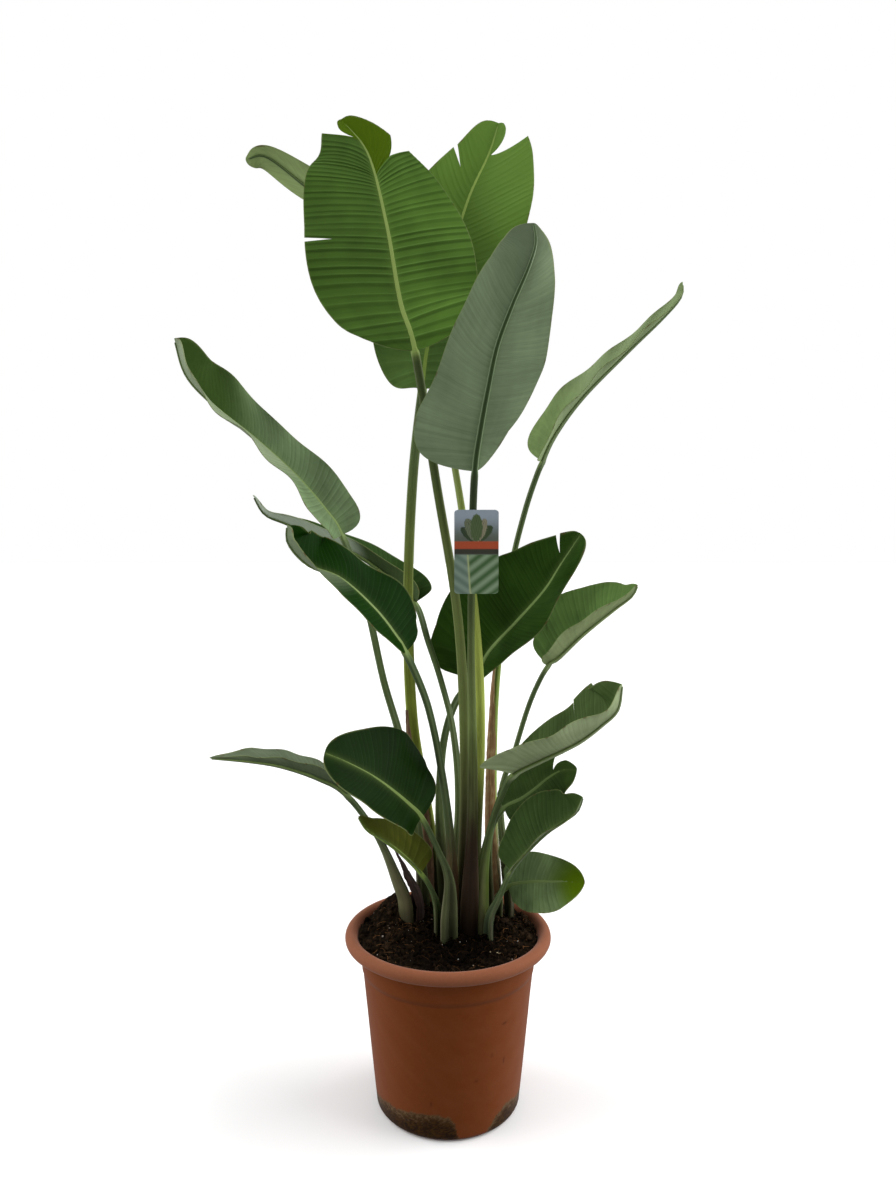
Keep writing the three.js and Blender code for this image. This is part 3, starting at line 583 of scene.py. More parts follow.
@dataclass
class Leaf:
    """One leaf: a channelled stalk that runs on as the midrib of a folded, pleated blade.

    Attributes:
        name: The node that it stands for.
        foot: Where it stands in the peat.
        radii: The stalk's radius at its foot and at its neck.
        stalk: Places on the stalk between the peat and the blade.
        rib: Places on the midrib from base to tip.
        face: The way the upper side looks, base to tip.
        widest: Where the blade is widest, as a share of its length.
        blunt: How blunt the base and the tip are; lower is blunter.
        ripple: Height and number of the edge's waves.
        sweep: How far the side veins lean towards the tip.
        late: How much that lean keeps to the tip; zero leans all veins alike.
        bend: How a side vein bends to its lean; above one it bends near the edge.
        swell: How much thicker the clasping foot is.
        rib_taper: How soon the midrib thins; lower keeps it thick.
        foot_face: The way the channel looks at the foot, where that differs.
    """

    name: str
    foot: tuple[float, float]
    radii: tuple[float, float]
    stalk: tuple[Place, ...]
    rib: tuple[Place, ...]
    face: tuple[Place, ...]
    left: Half
    right: Half
    widest: float
    blunt: tuple[float, float]
    ripple: tuple[float, float]
    look: LeafLook
    seed: int
    tears: tuple[Tear, ...] = ()
    sweep: float = 0.18
    late: float = 0.0
    bend: float = 1.4
    swell: float = 0.15
    rib_taper: float = 0.8
    foot_face: Place | None = None

    def __post_init__(self) -> None:
        """Lay the leaf's line and find where on it the blade starts."""
        x, y = self.foot
        self.line = GrownLine([(x, y, FOOT_DEPTH), (x, y, FOOT_TOP), *self.stalk, *self.rib])
        self.start = self.line.run_at_point(2 + len(self.stalk))
        self.length = self.line.length - self.start

    def frame_at(self, run: Array) -> tuple[Array, Array, Array, Array, Array]:
        """Give the line's place and axes: the upper side looks the face's way, less its part along the line.

        Args:
            run: Runs from the foot.

        Returns:
            Place, direction, upper side, right-hand side, and share of the blade's length.
        """
        place, direction = self.line.at(run), self.line.direction(run)
        share = np.clip((run - self.start) / self.length, 0.0, 1.0)
        face = through(self.face, share)
        if self.foot_face is not None:
            face = blend(face, self.foot_face, fade(run, 0.9 * self.start, 0.4 * self.start))
        normal = unit(face - (face * direction).sum(-1, keepdims=True) * direction)
        return place, direction, normal, np.cross(direction, normal), share

    def half_sheet(self, tau: Array, lean: Array, side: Side) -> tuple[Array, Array, Array]:
        """Lay out one half of the blade.

        A point lies on the side vein of its station tau, at a share out of the way from rib to edge. The vein leaves
        the rib further on, by the sweep, and bends to the edge's own run. Across the rib the half is an arc that
        starts at the fold angle and bends by the curl, and the edge ripples.

        Args:
            tau: Stations from base to tip, one a column.
            lean: Which side of a tear each column is on.
            side: Which half.

        Returns:
            Points, upper directions, and the distance from rib to edge.
        """
        half = self.left if side is Side.LEFT else self.right
        tau, lean, out = tau[:, None], lean[:, None], ROW_SHARES[None, :]
        warped, width = tau + 0 * out, 1 + 0 * tau * out
        for tear in (tear for tear in self.tears if tear.side is side):
            offset = tau - tear.at
            way = np.where(np.abs(offset) < 1e-6, lean, np.sign(offset))
            opened = np.clip((out - tear.start) / (1 - tear.start), 0.0, 1.0)
            warped = warped + way * (tear.gap / 2) * opened * np.exp(-np.abs(offset) / TEAR_FADE)
            width = width * np.where(way > 0, 1 + (tear.beyond - 1) * opened, 1.0)
        t = np.clip(warped, 0.0, 1.0)
        half_width = np.maximum(1.0, through(half.widths, t))
        shape = math.log(0.5) / math.log(self.widest)
        reach = half_width * np.maximum(0.0, np.sin(math.pi * t**shape)) ** through(self.blunt, t) * width
        edge_run = self.length * t - half.lobe * np.sin(math.pi * np.minimum(1.0, t / LOBE_SPAN))
        root = self.length * t * (1 - self.sweep * t**self.late * (1 - t**12))
        run = root + (edge_run - root) * out**self.bend
        inside = np.clip(run, 0.0, self.length)
        place, direction, normal, right, share = self.frame_at(self.start + inside)
        first = np.radians(through(half.fold, share))
        bend = math.radians(half.curl or 0.1)
        last = first + bend * reach * out / half_width
        right = right * side.value
        across = half_width * (np.sin(last) - np.sin(first)) / bend
        lift = half_width * (np.cos(first) - np.cos(last)) / bend
        place = place + direction * (run - inside)[..., None] + right * across[..., None] + normal * lift[..., None]
        upper = normal * np.cos(last)[..., None] - right * np.sin(last)[..., None]
        upper = np.where(out[..., None] == 0.0, normal, upper)
        height, waves = self.ripple
        phase = FULL_TURN * waves * t + (RIGHT_RIPPLE_SHIFT if side is Side.RIGHT else 0.0)
        ends = np.minimum(1.0, np.minimum(8 * t, 4 * (1 - t)))
        return place + upper * (height * out**2 * ends * np.sin(phase))[..., None], upper, reach

    def veins(self) -> tuple[Array, Array]:
        """Place the side veins: closer towards the tip, each moved a little, each of its own strength.

        The share of veins passed at station tau is (1 - k) tau + k tau squared, solved here for tau.

        Returns:
            Their stations from 0 to 1, and their strengths.
        """
        count = max(6, round(self.length / self.look.spacing))
        chance = np.random.default_rng(self.seed + 40)
        number = np.arange(count + 1, dtype=float)
        number[1:-1] += VEIN_STRAY * (chance.random(count - 1) - 0.5)
        straight = 1 - TIGHTENING
        tau = (np.sqrt(straight**2 + 4 * TIGHTENING * number / count) - straight) / (2 * TIGHTENING)
        return tau, 0.45 + 0.55 * chance.random(count + 1)

    def stations(self, veins: Array) -> tuple[Array, Array, Array]:
        """Choose the columns: a few in each pleat, extra ones at both ends, two at each tear.

        Args:
            veins: Stations of the side veins.

        Returns:
            Stations, their lean, and the columns after which the blade may be cut.
        """
        numbers = np.arange(len(veins) - 1)[:, None] + PLEAT_STEPS
        steps = np.interp(numbers.ravel(), np.arange(len(veins)), veins)
        tau = np.unique(np.concatenate([steps, [1.0], END_STATIONS, 1 - END_STATIONS]))
        tears = np.unique([tear.at for tear in self.tears])
        for at in tears:
            tau = tau[np.abs(tau - at) > TEAR_CLEARANCE]
        lean = np.repeat([0.0, -1.0, 1.0], [len(tau), len(tears), len(tears)])
        tau = np.concatenate([tau, tears, tears])
        order = np.lexsort((lean, tau))
        return tau[order], lean[order], np.nonzero(lean[order] < 0)[0]

    def blade(self) -> Skin:
        """Build the blade: both halves side by side, pleated along the side veins.

        A pleat's height is one less the sine of half a turn from vein to vein, its hollow close under the vein above.
        Pleats die out at the rib, at both ends and where the half is narrow.

        Returns:
            The closed blade.
        """
        veins, strengths = self.veins()
        tau, lean, cuts = self.stations(veins)
        number = np.interp(tau, veins, np.arange(len(veins)))
        back = 1 - (number - np.floor(number + 1e-9))
        ridge = (1 - np.sin(math.pi * np.clip(back, 0, 1) ** 0.75))[:, None]
        weight = strengths[np.round(number).astype(int)][:, None]
        ends = fade(tau, 0.0, 0.06) * fade(tau, 1.0, 0.9)
        halves = []
        for side in Side:
            place, upper, reach = self.half_sheet(tau, lean, side)
            strength = self.look.pleat * (0.75 + 0.35 * waver(tau * 3.1, self.seed + side.value))
            height = (strength * ends)[:, None] * weight * (ridge - 0.4) * np.minimum(1.0, reach / 60)
            height = height * fade(ROW_SHARES, 0.0, 0.12) * (1 - 0.35 * ROW_SHARES**3)
            halves.append((place + upper * height[..., None], upper, reach, side.value * ROW_SHARES + 0 * reach))
        middle, upper, reach, across = (np.concatenate([a[:, ::-1], b[:, 1:]], axis=1) for a, b in zip(*halves))
        station = tau[:, None] + 0 * across
        # band marks the painted shade just under each vein, where the pleat turns down.
        line, band = weight * ridge**6, weight * bell(back, 0.24, 0.17)[:, None]
        tones = [self.blade_tone(station, across, reach, line, band, sheet) for sheet in Sheet]
        return slab(middle, upper, BLADE_THICKNESS, tones, together(station * self.length * METRE, across), cuts)

    def blade_tone(self, station: Array, across: Array, reach: Array, line: Array, band: Array,
                   sheet: Sheet) -> Array:
        """Colour one skin: blotches and streaks, pale veins, painted shade in the hollows, painted shade and sheen on
        the upper side's two halves, rib side, tip and margin.

        Args:
            station: Stations from base to tip.
            across: From -1 at the left edge over 0 at the rib to 1 at the right.
            reach: Distance from rib to edge.
            line: How near a side vein is.
            band: How deep in the hollow under a vein, where the painted shade goes.
            sheet: Which skin.

        Returns:
            The colour of each point.
        """
        look = self.look
        blotch = patches(station * 2.6, across * 1.1, self.seed)
        streak = streaks(station * self.length / 16.0, self.seed + 5)
        far = np.abs(across)
        from_rib, from_edge = far * reach, (1 - far) * reach
        wide = fade(reach, 8.0, 60.0)
        if sheet is Sheet.UPPER:
            tone = np.asarray(look.upper) * (1 + 0.4 * blotch + 0.16 * streak)[..., None]
            if look.pale_half:
                side, start, full = look.pale_half
                tone = blend(tone, look.under, 0.85 * fade(station, start, full) * (across * side.value > 0))
            tone = blend(tone, 2.2 * tone + VEIN_PALENESS, look.vein_share * line * wide * (1 - 0.5 * far))
            tone = blend(tone, look.rib, 0.35 * np.exp(-from_rib / 3.0))
            # Painted shade and sheen: each half of the upper side is drawn darker or lighter, as the light falls on
            # it.
            tone = tone * np.where(across < 0, *look.halves)[..., None]
        else:
            tone = np.asarray(look.under) * (0.82 + 0.24 * blotch + 0.12 * streak)[..., None]
            tone = blend(tone, 0.5 * tone, 0.8 * look.vein_share * line * wide)
            tone = blend(tone, look.rib_under, 0.3 * np.exp(-from_rib / 4.0))
        # Painted shade: a dark band under each vein, where the pleat faces down.
        tone = tone * (1 - look.hollow * band * wide * fade(far, 0.0, 0.08))[..., None]
        left, right = fade(station, *look.tip_from[:2]), fade(station, *look.tip_from[2:])
        tone = blend(tone, look.tip, np.where(across < 0, left, right))
        tone = blend(tone, look.edge, 0.55 * fade(from_edge, 1.4, 0.3) * fade(reach, 2.0, 10.0))
        dry = fade(waver(station * 7 + 0.5 * np.sign(across), self.seed + 21), 0.45, 0.75)
        return blend(tone, WITHERED, 0.7 * dry * fade(from_edge, 2.2, 0.3))

    def radius_at(self, run: Array) -> Array:
        """Give the stem's radius: full at the foot, slimmer at the neck, then tapering along the midrib.

        Args:
            run: Runs from the foot.

        Returns:
            The radius at each.
        """
        foot, neck = self.radii
        straight = FOOT_TOP - FOOT_DEPTH
        climb = np.clip((run - straight) / max(1.0, self.start - straight), 0.0, 1.0)
        share = np.clip((run - self.start) / self.length, 0.0, 1.0)
        on_stalk = (foot + (neck - foot) * np.minimum(1.0, 1.6 * climb)) * (1 + self.swell * self.clasp_at(run))
        on_blade = RIB_TIP_RADIUS + (0.85 * neck - RIB_TIP_RADIUS) * (1 - share) ** self.rib_taper
        return np.where(run <= self.start, on_stalk, on_blade)

    def clasp_at(self, run: Array) -> Array:
        """Give how far the stalk is its clasping foot: 1 at the peat, 0 from the foot's top on."""
        return fade(run, min(CLASP_TOP, 0.8 * self.start), CLASP_FULL)

    def stem(self) -> Skin:
        """Build the stalk and midrib: a rounded back and two shoulders with a channel between them.

        The section is an ellipse, flatter above than below, less a bell-shaped channel; on the blade it sinks until
        only its shoulders stand above the upper side.

        Returns:
            The closed stem.
        """
        end = self.start + RIB_END * self.length
        runs = np.linspace(0.0, end, int(end / STALK_RING_STEP) + 1)
        place, _, normal, right, share = (part[:, None] for part in self.frame_at(runs))
        runs, turn = runs[:, None], angles(STALK_POINTS)[None, :]
        on_blade, clasp = np.clip((runs - self.start) / NECK_BLEND + 1, 0.0, 1.0), self.clasp_at(runs)
        side, up = np.cos(turn), np.sin(turn)
        channel = (0.42 - 0.24 * on_blade + 0.4 * clasp) * bell(side, 0.0, 0.5) * np.maximum(up, 0.0)
        height = np.where(up > 0, CHANNEL_HEIGHT, BACK_HEIGHT) * up - channel - 0.22 * on_blade
        rings = (place + right * (side * self.radius_at(runs) * (1 + CLASP_WIDTH * clasp))[..., None]
                 + normal * (height * self.radius_at(runs))[..., None])
        tone = self.stem_tone(*np.broadcast_arrays(runs, share, clasp, side, up, on_blade))
        return tube(rings, tone, together(runs * METRE, turn / FULL_TURN), 1)

    def stem_tone(self, runs: Array, share: Array, clasp: Array, side: Array, up: Array,
                  on_blade: Array) -> Array:
        """Colour the stem: foot, low and neck colours up its height, painted shade where it leaves the peat and among
        the crowded feet, papery shoulders, and the rib's colours.

        Args:
            runs: Runs from the foot.
            share: Share of the way along the blade.
            clasp: How far it is the clasping foot.
            side: Place across the section.
            up: Place up the section.
            on_blade: How far it has become the midrib.

        Returns:
            The colour of each point.
        """
        look, around, far = self.look, np.arctan2(up, side), np.abs(side)
        climb = np.clip(runs / self.start, 0.0, 1.0)
        patchy = 30 * mottle(runs / 120, around, self.seed + 13)
        # The foot colour is partly the stalk's own dark base and, where foot_reach is long, partly painted shade among
        # the crowded stalks.
        tone = blend(look.foot, look.low, fade(runs + patchy, 0.4 * look.foot_reach, look.foot_reach))
        tone = blend(tone, look.neck, fade(climb, 0.35, 0.95))
        tone = tone * (0.35 + 0.65 * fade(runs, *SHADED_RUNS))[..., None]
        streak = waver(around * 1.7 + 0.4 * climb, self.seed + 9, 4)
        tone = tone * (1 + 0.14 * streak + 0.10 * waver(climb * 6, self.seed + 11))[..., None]
        tone = blend(tone, look.edge, 0.2 * bell(far, 0.75, 0.16) * (up > 0))
        tone = blend(tone, PAPERY, 0.25 * clasp * bell(far, 1.0, 0.06))
        # Under the rib: its own darker colour down the middle, paler towards both flanks, partly the blade's under
        # colour and partly a painted highlight along the rib's sides.
        flank = blend(look.rib_under, look.under, 0.9 * fade(far, 0.55, 0.9))
        on_rib = np.where((up > 0)[..., None], look.rib, flank) * (1 + 0.12 * streak)[..., None]
        return blend(tone, blend(on_rib, look.upper, 0.4 * fade(share, 0.75, 1.0)), on_blade)

    def build(self) -> None:
        """Make the leaf's piece in place of its node."""
        make_piece(self.name + "_grown", [self.blade(), self.stem()], [BLADE_WAX, STALK_SKIN], [self.name])


DEEP = LeafLook(upper=(0.014, 0.036, 0.005), under=(0.13, 0.17, 0.1), rib=(0.16, 0.24, 0.07), pleat=0.25,
                vein_share=0.22)
FRESH = LeafLook(upper=(0.07, 0.13, 0.022), under=(0.15, 0.22, 0.08), rib=(0.32, 0.46, 0.1), pleat=0.7,
                 spacing=11.0)
YELLOWISH: Colour = (0.07, 0.13, 0.002)

# Each leaf's node, foot and radii; its stalk; its midrib; the way its upper side looks; its halves; where it is
# widest, how blunt and how rippled it is; its look and its seed; its tears; and what else sets it apart.
LEAVES = (
    # Painted shade and sheen: this leaf's left half is drawn darker and its right half lighter.
    Leaf("leaf_tall_front", (24, 14), (9.5, 7), ((27, 22, 530), (16, 30, 750), (-19, 45, 970)),
         ((-53, 75, 1179), (-78, 105, 1265), (-103, 150, 1404), (-137, 200, 1539), (-186, 225, 1611)),
         ((0.05, -1, 0.15), (0.05, -1, 0.15), (-0.05, -0.9, 0.4)),
         Half((145, 146, 139, 136, 96), (16,), -12, 2), Half((187, 144, 127, 89, 48), (9,), -15, 0),
         0.42, (0.6, 0.26), (4, 3),
         LeafLook(upper=(0.058, 0.121, 0.018), rib=(0.28, 0.38, 0.1), pleat=1.4, spacing=14.0, vein_share=0.5,
                  hollow=0.5, halves=(0.74, 1.1), tip=YELLOWISH, tip_from=(0.97, 0.975, 0.812, 0.816),
                  foot=(0.06, 0.055, 0.022), low=(0.16, 0.2, 0.06), neck=(0.048, 0.07, 0.02), foot_reach=400.0), 11,
         tears=(Tear(Side.LEFT, 0.44, 0.67, 0.02, 1), Tear(Side.LEFT, 0.975, 0.05, 0.01, 0.3),
                Tear(Side.RIGHT, 0.815, 0.55, 0.07, 0.95)), sweep=0.4, late=5.0, bend=0.7, rib_taper=0.6),
    Leaf("leaf_tall_back", (-26, 100), (11, 8), ((-35, 104, 418), (-59, 92, 581), (-65, 85, 780), (-58, 105, 976)),
         ((-43, 150, 1132), (-32, 172, 1219), (-1, 205, 1347), (36, 240, 1479), (73, 265, 1568), (92, 285, 1633)),
         ((0.05, -1, 0.3), (0, -1, 0.4), (0, -0.8, 0.6)),
         Half((58, 145, 135, 92, 80), (18,), -10, 43), Half((91, 110, 126, 142, 103), (26,), -10, 20),
         0.42, (0.43, 0.31), (4, 3),
         # Painted shade: the upper side is drawn darker low on the blade, where it lies in shade, and the brighter tip
         # colour takes over from 0.3 to 0.6 of its length.
         replace(FRESH, upper=(0.09, 0.165, 0.04), tip=(0.12, 0.23, 0.036), tip_from=(0.3, 0.6, 0.3, 0.6),
                 low=(0.245, 0.3, 0.042), spacing=15.0, pleat=1.0), 12,
         tears=(Tear(Side.LEFT, 0.85, 0.6, 0.02, 0.98), Tear(Side.RIGHT, 0.947, 0.05, 0.05, 0.4)), rib_taper=0.3),
    Leaf("leaf_tall_right", (33, -9), (10, 5.5), ((38, -12, 477), (35, -22, 710), (36, -40, 876)),
         ((39, -60, 975), (46, -70, 1029), (58, -80, 1095), (70, -85, 1150), (91, -85, 1206), (115, -75, 1262),
          (127, -50, 1304), (127, -15, 1345)), ((0, 1, 0.1), (0, 1, 0.1), (0, 0.7, -0.7)),
         Half((28, 66, 75, 51, 21), (10,), 12, 11), Half((196, 92, 67, 74, 90), (0,), 12, 9),
         0.42, (0.7, 0.37), (2, 4),
         LeafLook(upper=(0.04, 0.09, 0.014), under=(0.204, 0.278, 0.156), rib_under=(0.035, 0.062, 0.02),
                  foot=(0.03, 0.018, 0.01), low=(0.16, 0.21, 0.065), neck=(0.035, 0.052, 0.02), pleat=0.4,
                  vein_share=0.5, hollow=0.2, tip=(0.08, 0.108, 0.06), tip_from=(0.72, 1.1, 0.5, 1.0),
                  foot_reach=400.0), 13),
    # Painted light: the stalk above its foot is coloured brighter than it is, to lift it out of the shade of the
    # leaves round it.
    Leaf("leaf_tall_left", (38, 33), (9.5, 7),
         ((51, 42, 526), (48, 48, 702), (28, 80, 893), (5, 140, 1046), (-12, 210, 1168)),
         ((-41, 240, 1235), (-115, 280, 1379), (-197, 292, 1478), (-260, 285, 1523), (-326, 270, 1567),
          (-361, 258, 1557)), ((0.35, 0.5, 0.75),),
         Half((50, 49, 48, 49, 52), (9,), 0, 6), Half((53, 45, 40, 45, 95), (8,), 0, 6), 0.45, (0.5, 0.54), (2, 3),
         LeafLook(under=(0.36, 0.48, 0.19), low=(0.42, 0.5, 0.1), foot=(0.035, 0.042, 0.01), foot_reach=400.0), 14),
    Leaf("leaf_mid_far_left", (-40, 74), (9, 6.5),
         ((-51, 74, 419), (-76, 66, 553), (-103, 58, 652), (-131, 52, 781)),
         ((-166, 40, 885), (-190, 28, 924), (-234, 10, 977), (-291, -10, 1030), (-348, -28, 1077), (-384, -40, 1117),
          (-398, -50, 1168)), ((0.69, -0.5, 0.52),),
         Half((58, 52, 47, 46, 44), (4, 16, 26, 35, 75), 0, 17), Half((70, 50, 42, 64, 71), (38,), 0, 5),
         0.4, (0.41, 0.34), (4, 4),
         LeafLook(upper=(0.122, 0.18, 0.086), under=(0.245, 0.3, 0.185), tip=(0.046, 0.088, 0.018),
                  tip_from=(1.1, 1.2, 0.5, 0.85), pale_half=(Side.LEFT, 0.25, 0.5)), 15),
    Leaf("leaf_mid_left", (8, -4), (9, 6.5), ((6, -8, 397), (-8, -15, 516), (-30, -38, 629)),
         ((-62, -60, 712), (-74, -68, 734), (-105, -80, 776), (-152, -97, 821), (-195, -112, 840), (-221, -122, 869),
          (-222, -128, 895)), ((0.69, -0.5, 0.52),),
         Half((37, 46, 52, 49, 42), (12, 13, 17, 43, 75), 0, 5), Half((70, 65, 45, 62, 77), (24,), 0, 0),
         0.4, (0.57, 0.35), (2, 3),
         LeafLook(upper=(0.004, 0.022, 0.0006), pale_half=(Side.LEFT, 0.5, 0.8), low=(0.055, 0.08, 0.032),
                  neck=(0.05, 0.08, 0.03), foot=(0.11, 0.055, 0.028)), 16, swell=0.3),
    Leaf("leaf_mid_left_behind", (10, 37), (8.5, 6), ((18, 48, 459), (9, 62, 569), (-11, 74, 650), (-32, 88, 712)),
         ((-54, 116, 774), (-94, 130, 812), (-139, 125, 846), (-179, 115, 869), (-227, 100, 889), (-265, 88, 905),
          (-296, 78, 919), (-313, 70, 949)), ((0.3, -0.15, 0.9),),
         Half((45, 22, 20, 25, 25), (60, 75, 70, 60, 50), 0, 8),
         Half((52, 45, 40, 35, 25), (70, 35, 25, 25, 25), 0, 15), 0.35, (0.4, 0.5), (2, 3),
         LeafLook(upper=(0.022, 0.05, 0.01), under=(0.06, 0.095, 0.035), tip=(0.55, 0.64, 0.5),
                  tip_from=(0.38, 0.55, 1.1, 1.2)), 17),
    Leaf("leaf_mid_far_right", (77, 78), (10, 6.5),
         ((74, 112, 441), (80, 132, 624), (102, 140, 810), (126, 118, 924)),
         ((152, 90, 1006), (174, 75, 1052), (214, 55, 1105), (279, 30, 1169), (327, 10, 1214), (351, 2, 1242),
          (353, 0, 1264)), ((-0.75, -0.2, 0.65),),
         Half((67, 50, 32, 26, 33), (36,), 0, 9), Half((46, 40, 35, 30, 25), (22,), 0, 14),
         0.38, (0.41, 0.48), (3, 4),
         LeafLook(upper=(0.15, 0.22, 0.078), under=(0.26, 0.34, 0.17), pleat=0.0, vein_share=0.1, hollow=0.0,
                  low=(0.22, 0.31, 0.06), foot=(0.12, 0.11, 0.05), pale_half=(Side.LEFT, 0.2, 0.5)), 18),
    Leaf("leaf_mid_centre", (-4, 82), (9, 6.5), ((-14, 84, 424), (-8, 102, 537), (13, 104, 609)),
         ((41, 95, 644), (65, 85, 694), (110, 65, 747), (152, 45, 798), (176, 25, 840), (204, 5, 886)),
         ((-0.42, -0.8, 0.43),),
         Half((131, 120, 104, 93, 42), (28,), 0, 33), Half((36, 38, 44, 37, 54), (-3,), 0, 0),
         0.4, (0.8, 0.36), (3, 3), replace(DEEP, upper=(0.02, 0.052, 0.006), rib=(0.2, 0.3, 0.09)), 19,
         tears=(Tear(Side.LEFT, 0.93, 0.35, 0.02, 1.05),)),
    # Painted light: its upper side is coloured brighter than it is, to lift it out of the shade where it grows.
    Leaf("leaf_mid_right", (98, 60), (8, 5.5), ((86, 88, 448), (109, 85, 532), (134, 75, 617)),
         ((160, 60, 676), (175, 50, 689), (211, 30, 728), (254, 5, 768), (279, -10, 790), (287, -18, 808)),
         ((-0.6, -0.15, 0.75),), Half((87, 88, 75, 63, 51), (46,), 0, 4), Half((33, 32, 27, 22, 21), (60,), 0, 0),
         0.4, (0.42, 0.5), (2, 3), LeafLook(upper=(0.107, 0.19, 0.049), under=(0.4, 0.5, 0.24)), 20),
    Leaf("leaf_low_right_upper", (46, 10), (12, 7), ((52, 8, 362), (66, 0, 434), (83, -6, 487)),
         ((100, -15, 518), (139, -30, 543), (171, -48, 563), (197, -62, 581), (225, -76, 607), (244, -90, 631),
          (249, -98, 669)), ((-0.6, -0.15, 0.78),),
         Half((38, 51, 55, 72, 103), (45,), 0, 0), Half((142, 95, 68, 66, 40, 22), (49,), 0, 20),
         0.42, (0.42, 0.4), (2, 3),
         LeafLook(upper=(0.053, 0.09, 0.025), under=(0.39, 0.48, 0.26), low=(0.08, 0.12, 0.03),
                  foot=(0.062, 0.088, 0.016)), 21, tears=(Tear(Side.LEFT, 0.6, 0.6, 0.014, 1.06),), swell=0.6),
    Leaf("leaf_low_right_second", (64, 40), (7.5, 5), ((64, 43, 359), (70, 34, 418)),
         ((88, 20, 455), (114, 10, 472), (135, 2, 490), (154, -6, 509), (175, -16, 524), (196, -26, 527)),
         ((-0.35, -0.75, 0.55),), Half((50, 55, 62, 45, 30), (5,), 0, 8), Half((50, 52, 54, 60, 60), (5,), 0, 8),
         0.5, (0.5, 0.4), (1.5, 3), replace(DEEP, upper=(0.035, 0.065, 0.015)), 22,
         tears=(Tear(Side.LEFT, 0.62, 0.5, 0.03, 1), Tear(Side.LEFT, 0.85, 0.2, 0.05, 0.6))),
    Leaf("leaf_low_right_third", (62, -22), (7, 5), ((77, -30, 330),),
         ((95, -40, 377), (121, -52, 414), (147, -62, 443), (171, -72, 463), (189, -79, 480), (196, -85, 502)),
         ((-0.5, -0.3, 0.75),), Half((58, 60, 60, 56, 52), (35,), 0, 10), Half((30, 24, 22, 20, 15), (35,), 0, 12),
         0.5, (0.42, 0.4), (2, 2),
         LeafLook(upper=(0.035, 0.067, 0.016), low=(0.09, 0.13, 0.07), foot=(0.07, 0.1, 0.05)), 23),
    Leaf("leaf_low_right_lowest", (80, 48), (6.5, 4.5), (),
         ((97, 48, 318), (130, 20, 336), (159, -5, 346), (184, -25, 354), (207, -40, 357)), ((-0.05, -0.8, 0.6),),
         Half((54, 52, 43, 42, 46), (6,), 0, 6), Half((40, 47, 51, 56, 67), (3,), 0, 6), 0.45, (0.5, 0.58), (1.5, 2),
         LeafLook(upper=(0.12, 0.178, 0.074), tip=(0.092, 0.162, 0.003), tip_from=(0.55, 0.95, 0.7, 0.95)), 24),
    Leaf("leaf_low_left_broad", (2, -28), (8, 4.7), ((2, -36, 360), (-15, -46, 410)),
         ((-39, -60, 464), (-56, -70, 486), (-82, -90, 515), (-109, -105, 539), (-145, -125, 564),
          (-172, -135, 578)), ((0.3, -0.8, 0.5),),
         Half((51, 44, 45, 51, 58), (6,), 0, 20), Half((93, 96, 93, 76, 65), (-10,), 0, 2),
         0.42, (0.45, 0.4), (2, 2),
         replace(DEEP, upper=(0.004, 0.016, 0.0008), rib=(0.16, 0.23, 0.06), low=(0.05, 0.075, 0.028),
                 neck=(0.05, 0.075, 0.028), foot=(0.075, 0.085, 0.04)), 25, swell=0.35, rib_taper=2.0),
    Leaf("leaf_low_far_left", (-64, 43), (12, 6), ((-76, 43, 326), (-110, 40, 400)),
         ((-161, 30, 474), (-202, 10, 505), (-252, -20, 531), (-296, -45, 545), (-349, -75, 557)),
         ((0.1, -0.25, 1),), Half((29, 22, 17, 14, 12), (70,), 0, 4), Half((39, 38, 34, 33, 20), (22,), 0, 4),
         0.4, (0.5, 0.61), (2, 4),
         LeafLook(upper=(0.118, 0.15, 0.092), low=(0.16, 0.19, 0.1), foot=(0.11, 0.106, 0.05)), 26, swell=0.45,
         foot_face=(1.0, 0.15, 0.2)),
    Leaf("leaf_low_left_small", (-14, -12), (6.5, 4.5), ((-22, -15, 330),),
         ((-41, -20, 365), (-72, -28, 400), (-99, -36, 423), (-122, -40, 439), (-135, -43, 460)),
         ((0.45, -0.4, 0.8),), Half((7, 7, 6, 6, 6), (40,), 0, 6), Half((69, 53, 44, 39, 31), (16, 10, 21), 0, 8),
         0.4, (0.52, 0.49), (1, 2),
         replace(FRESH, upper=(0.058, 0.066, 0.006), foot=(0.03, 0.05, 0.015), low=(0.04, 0.07, 0.02)), 27),
)


# Dry leaf bases


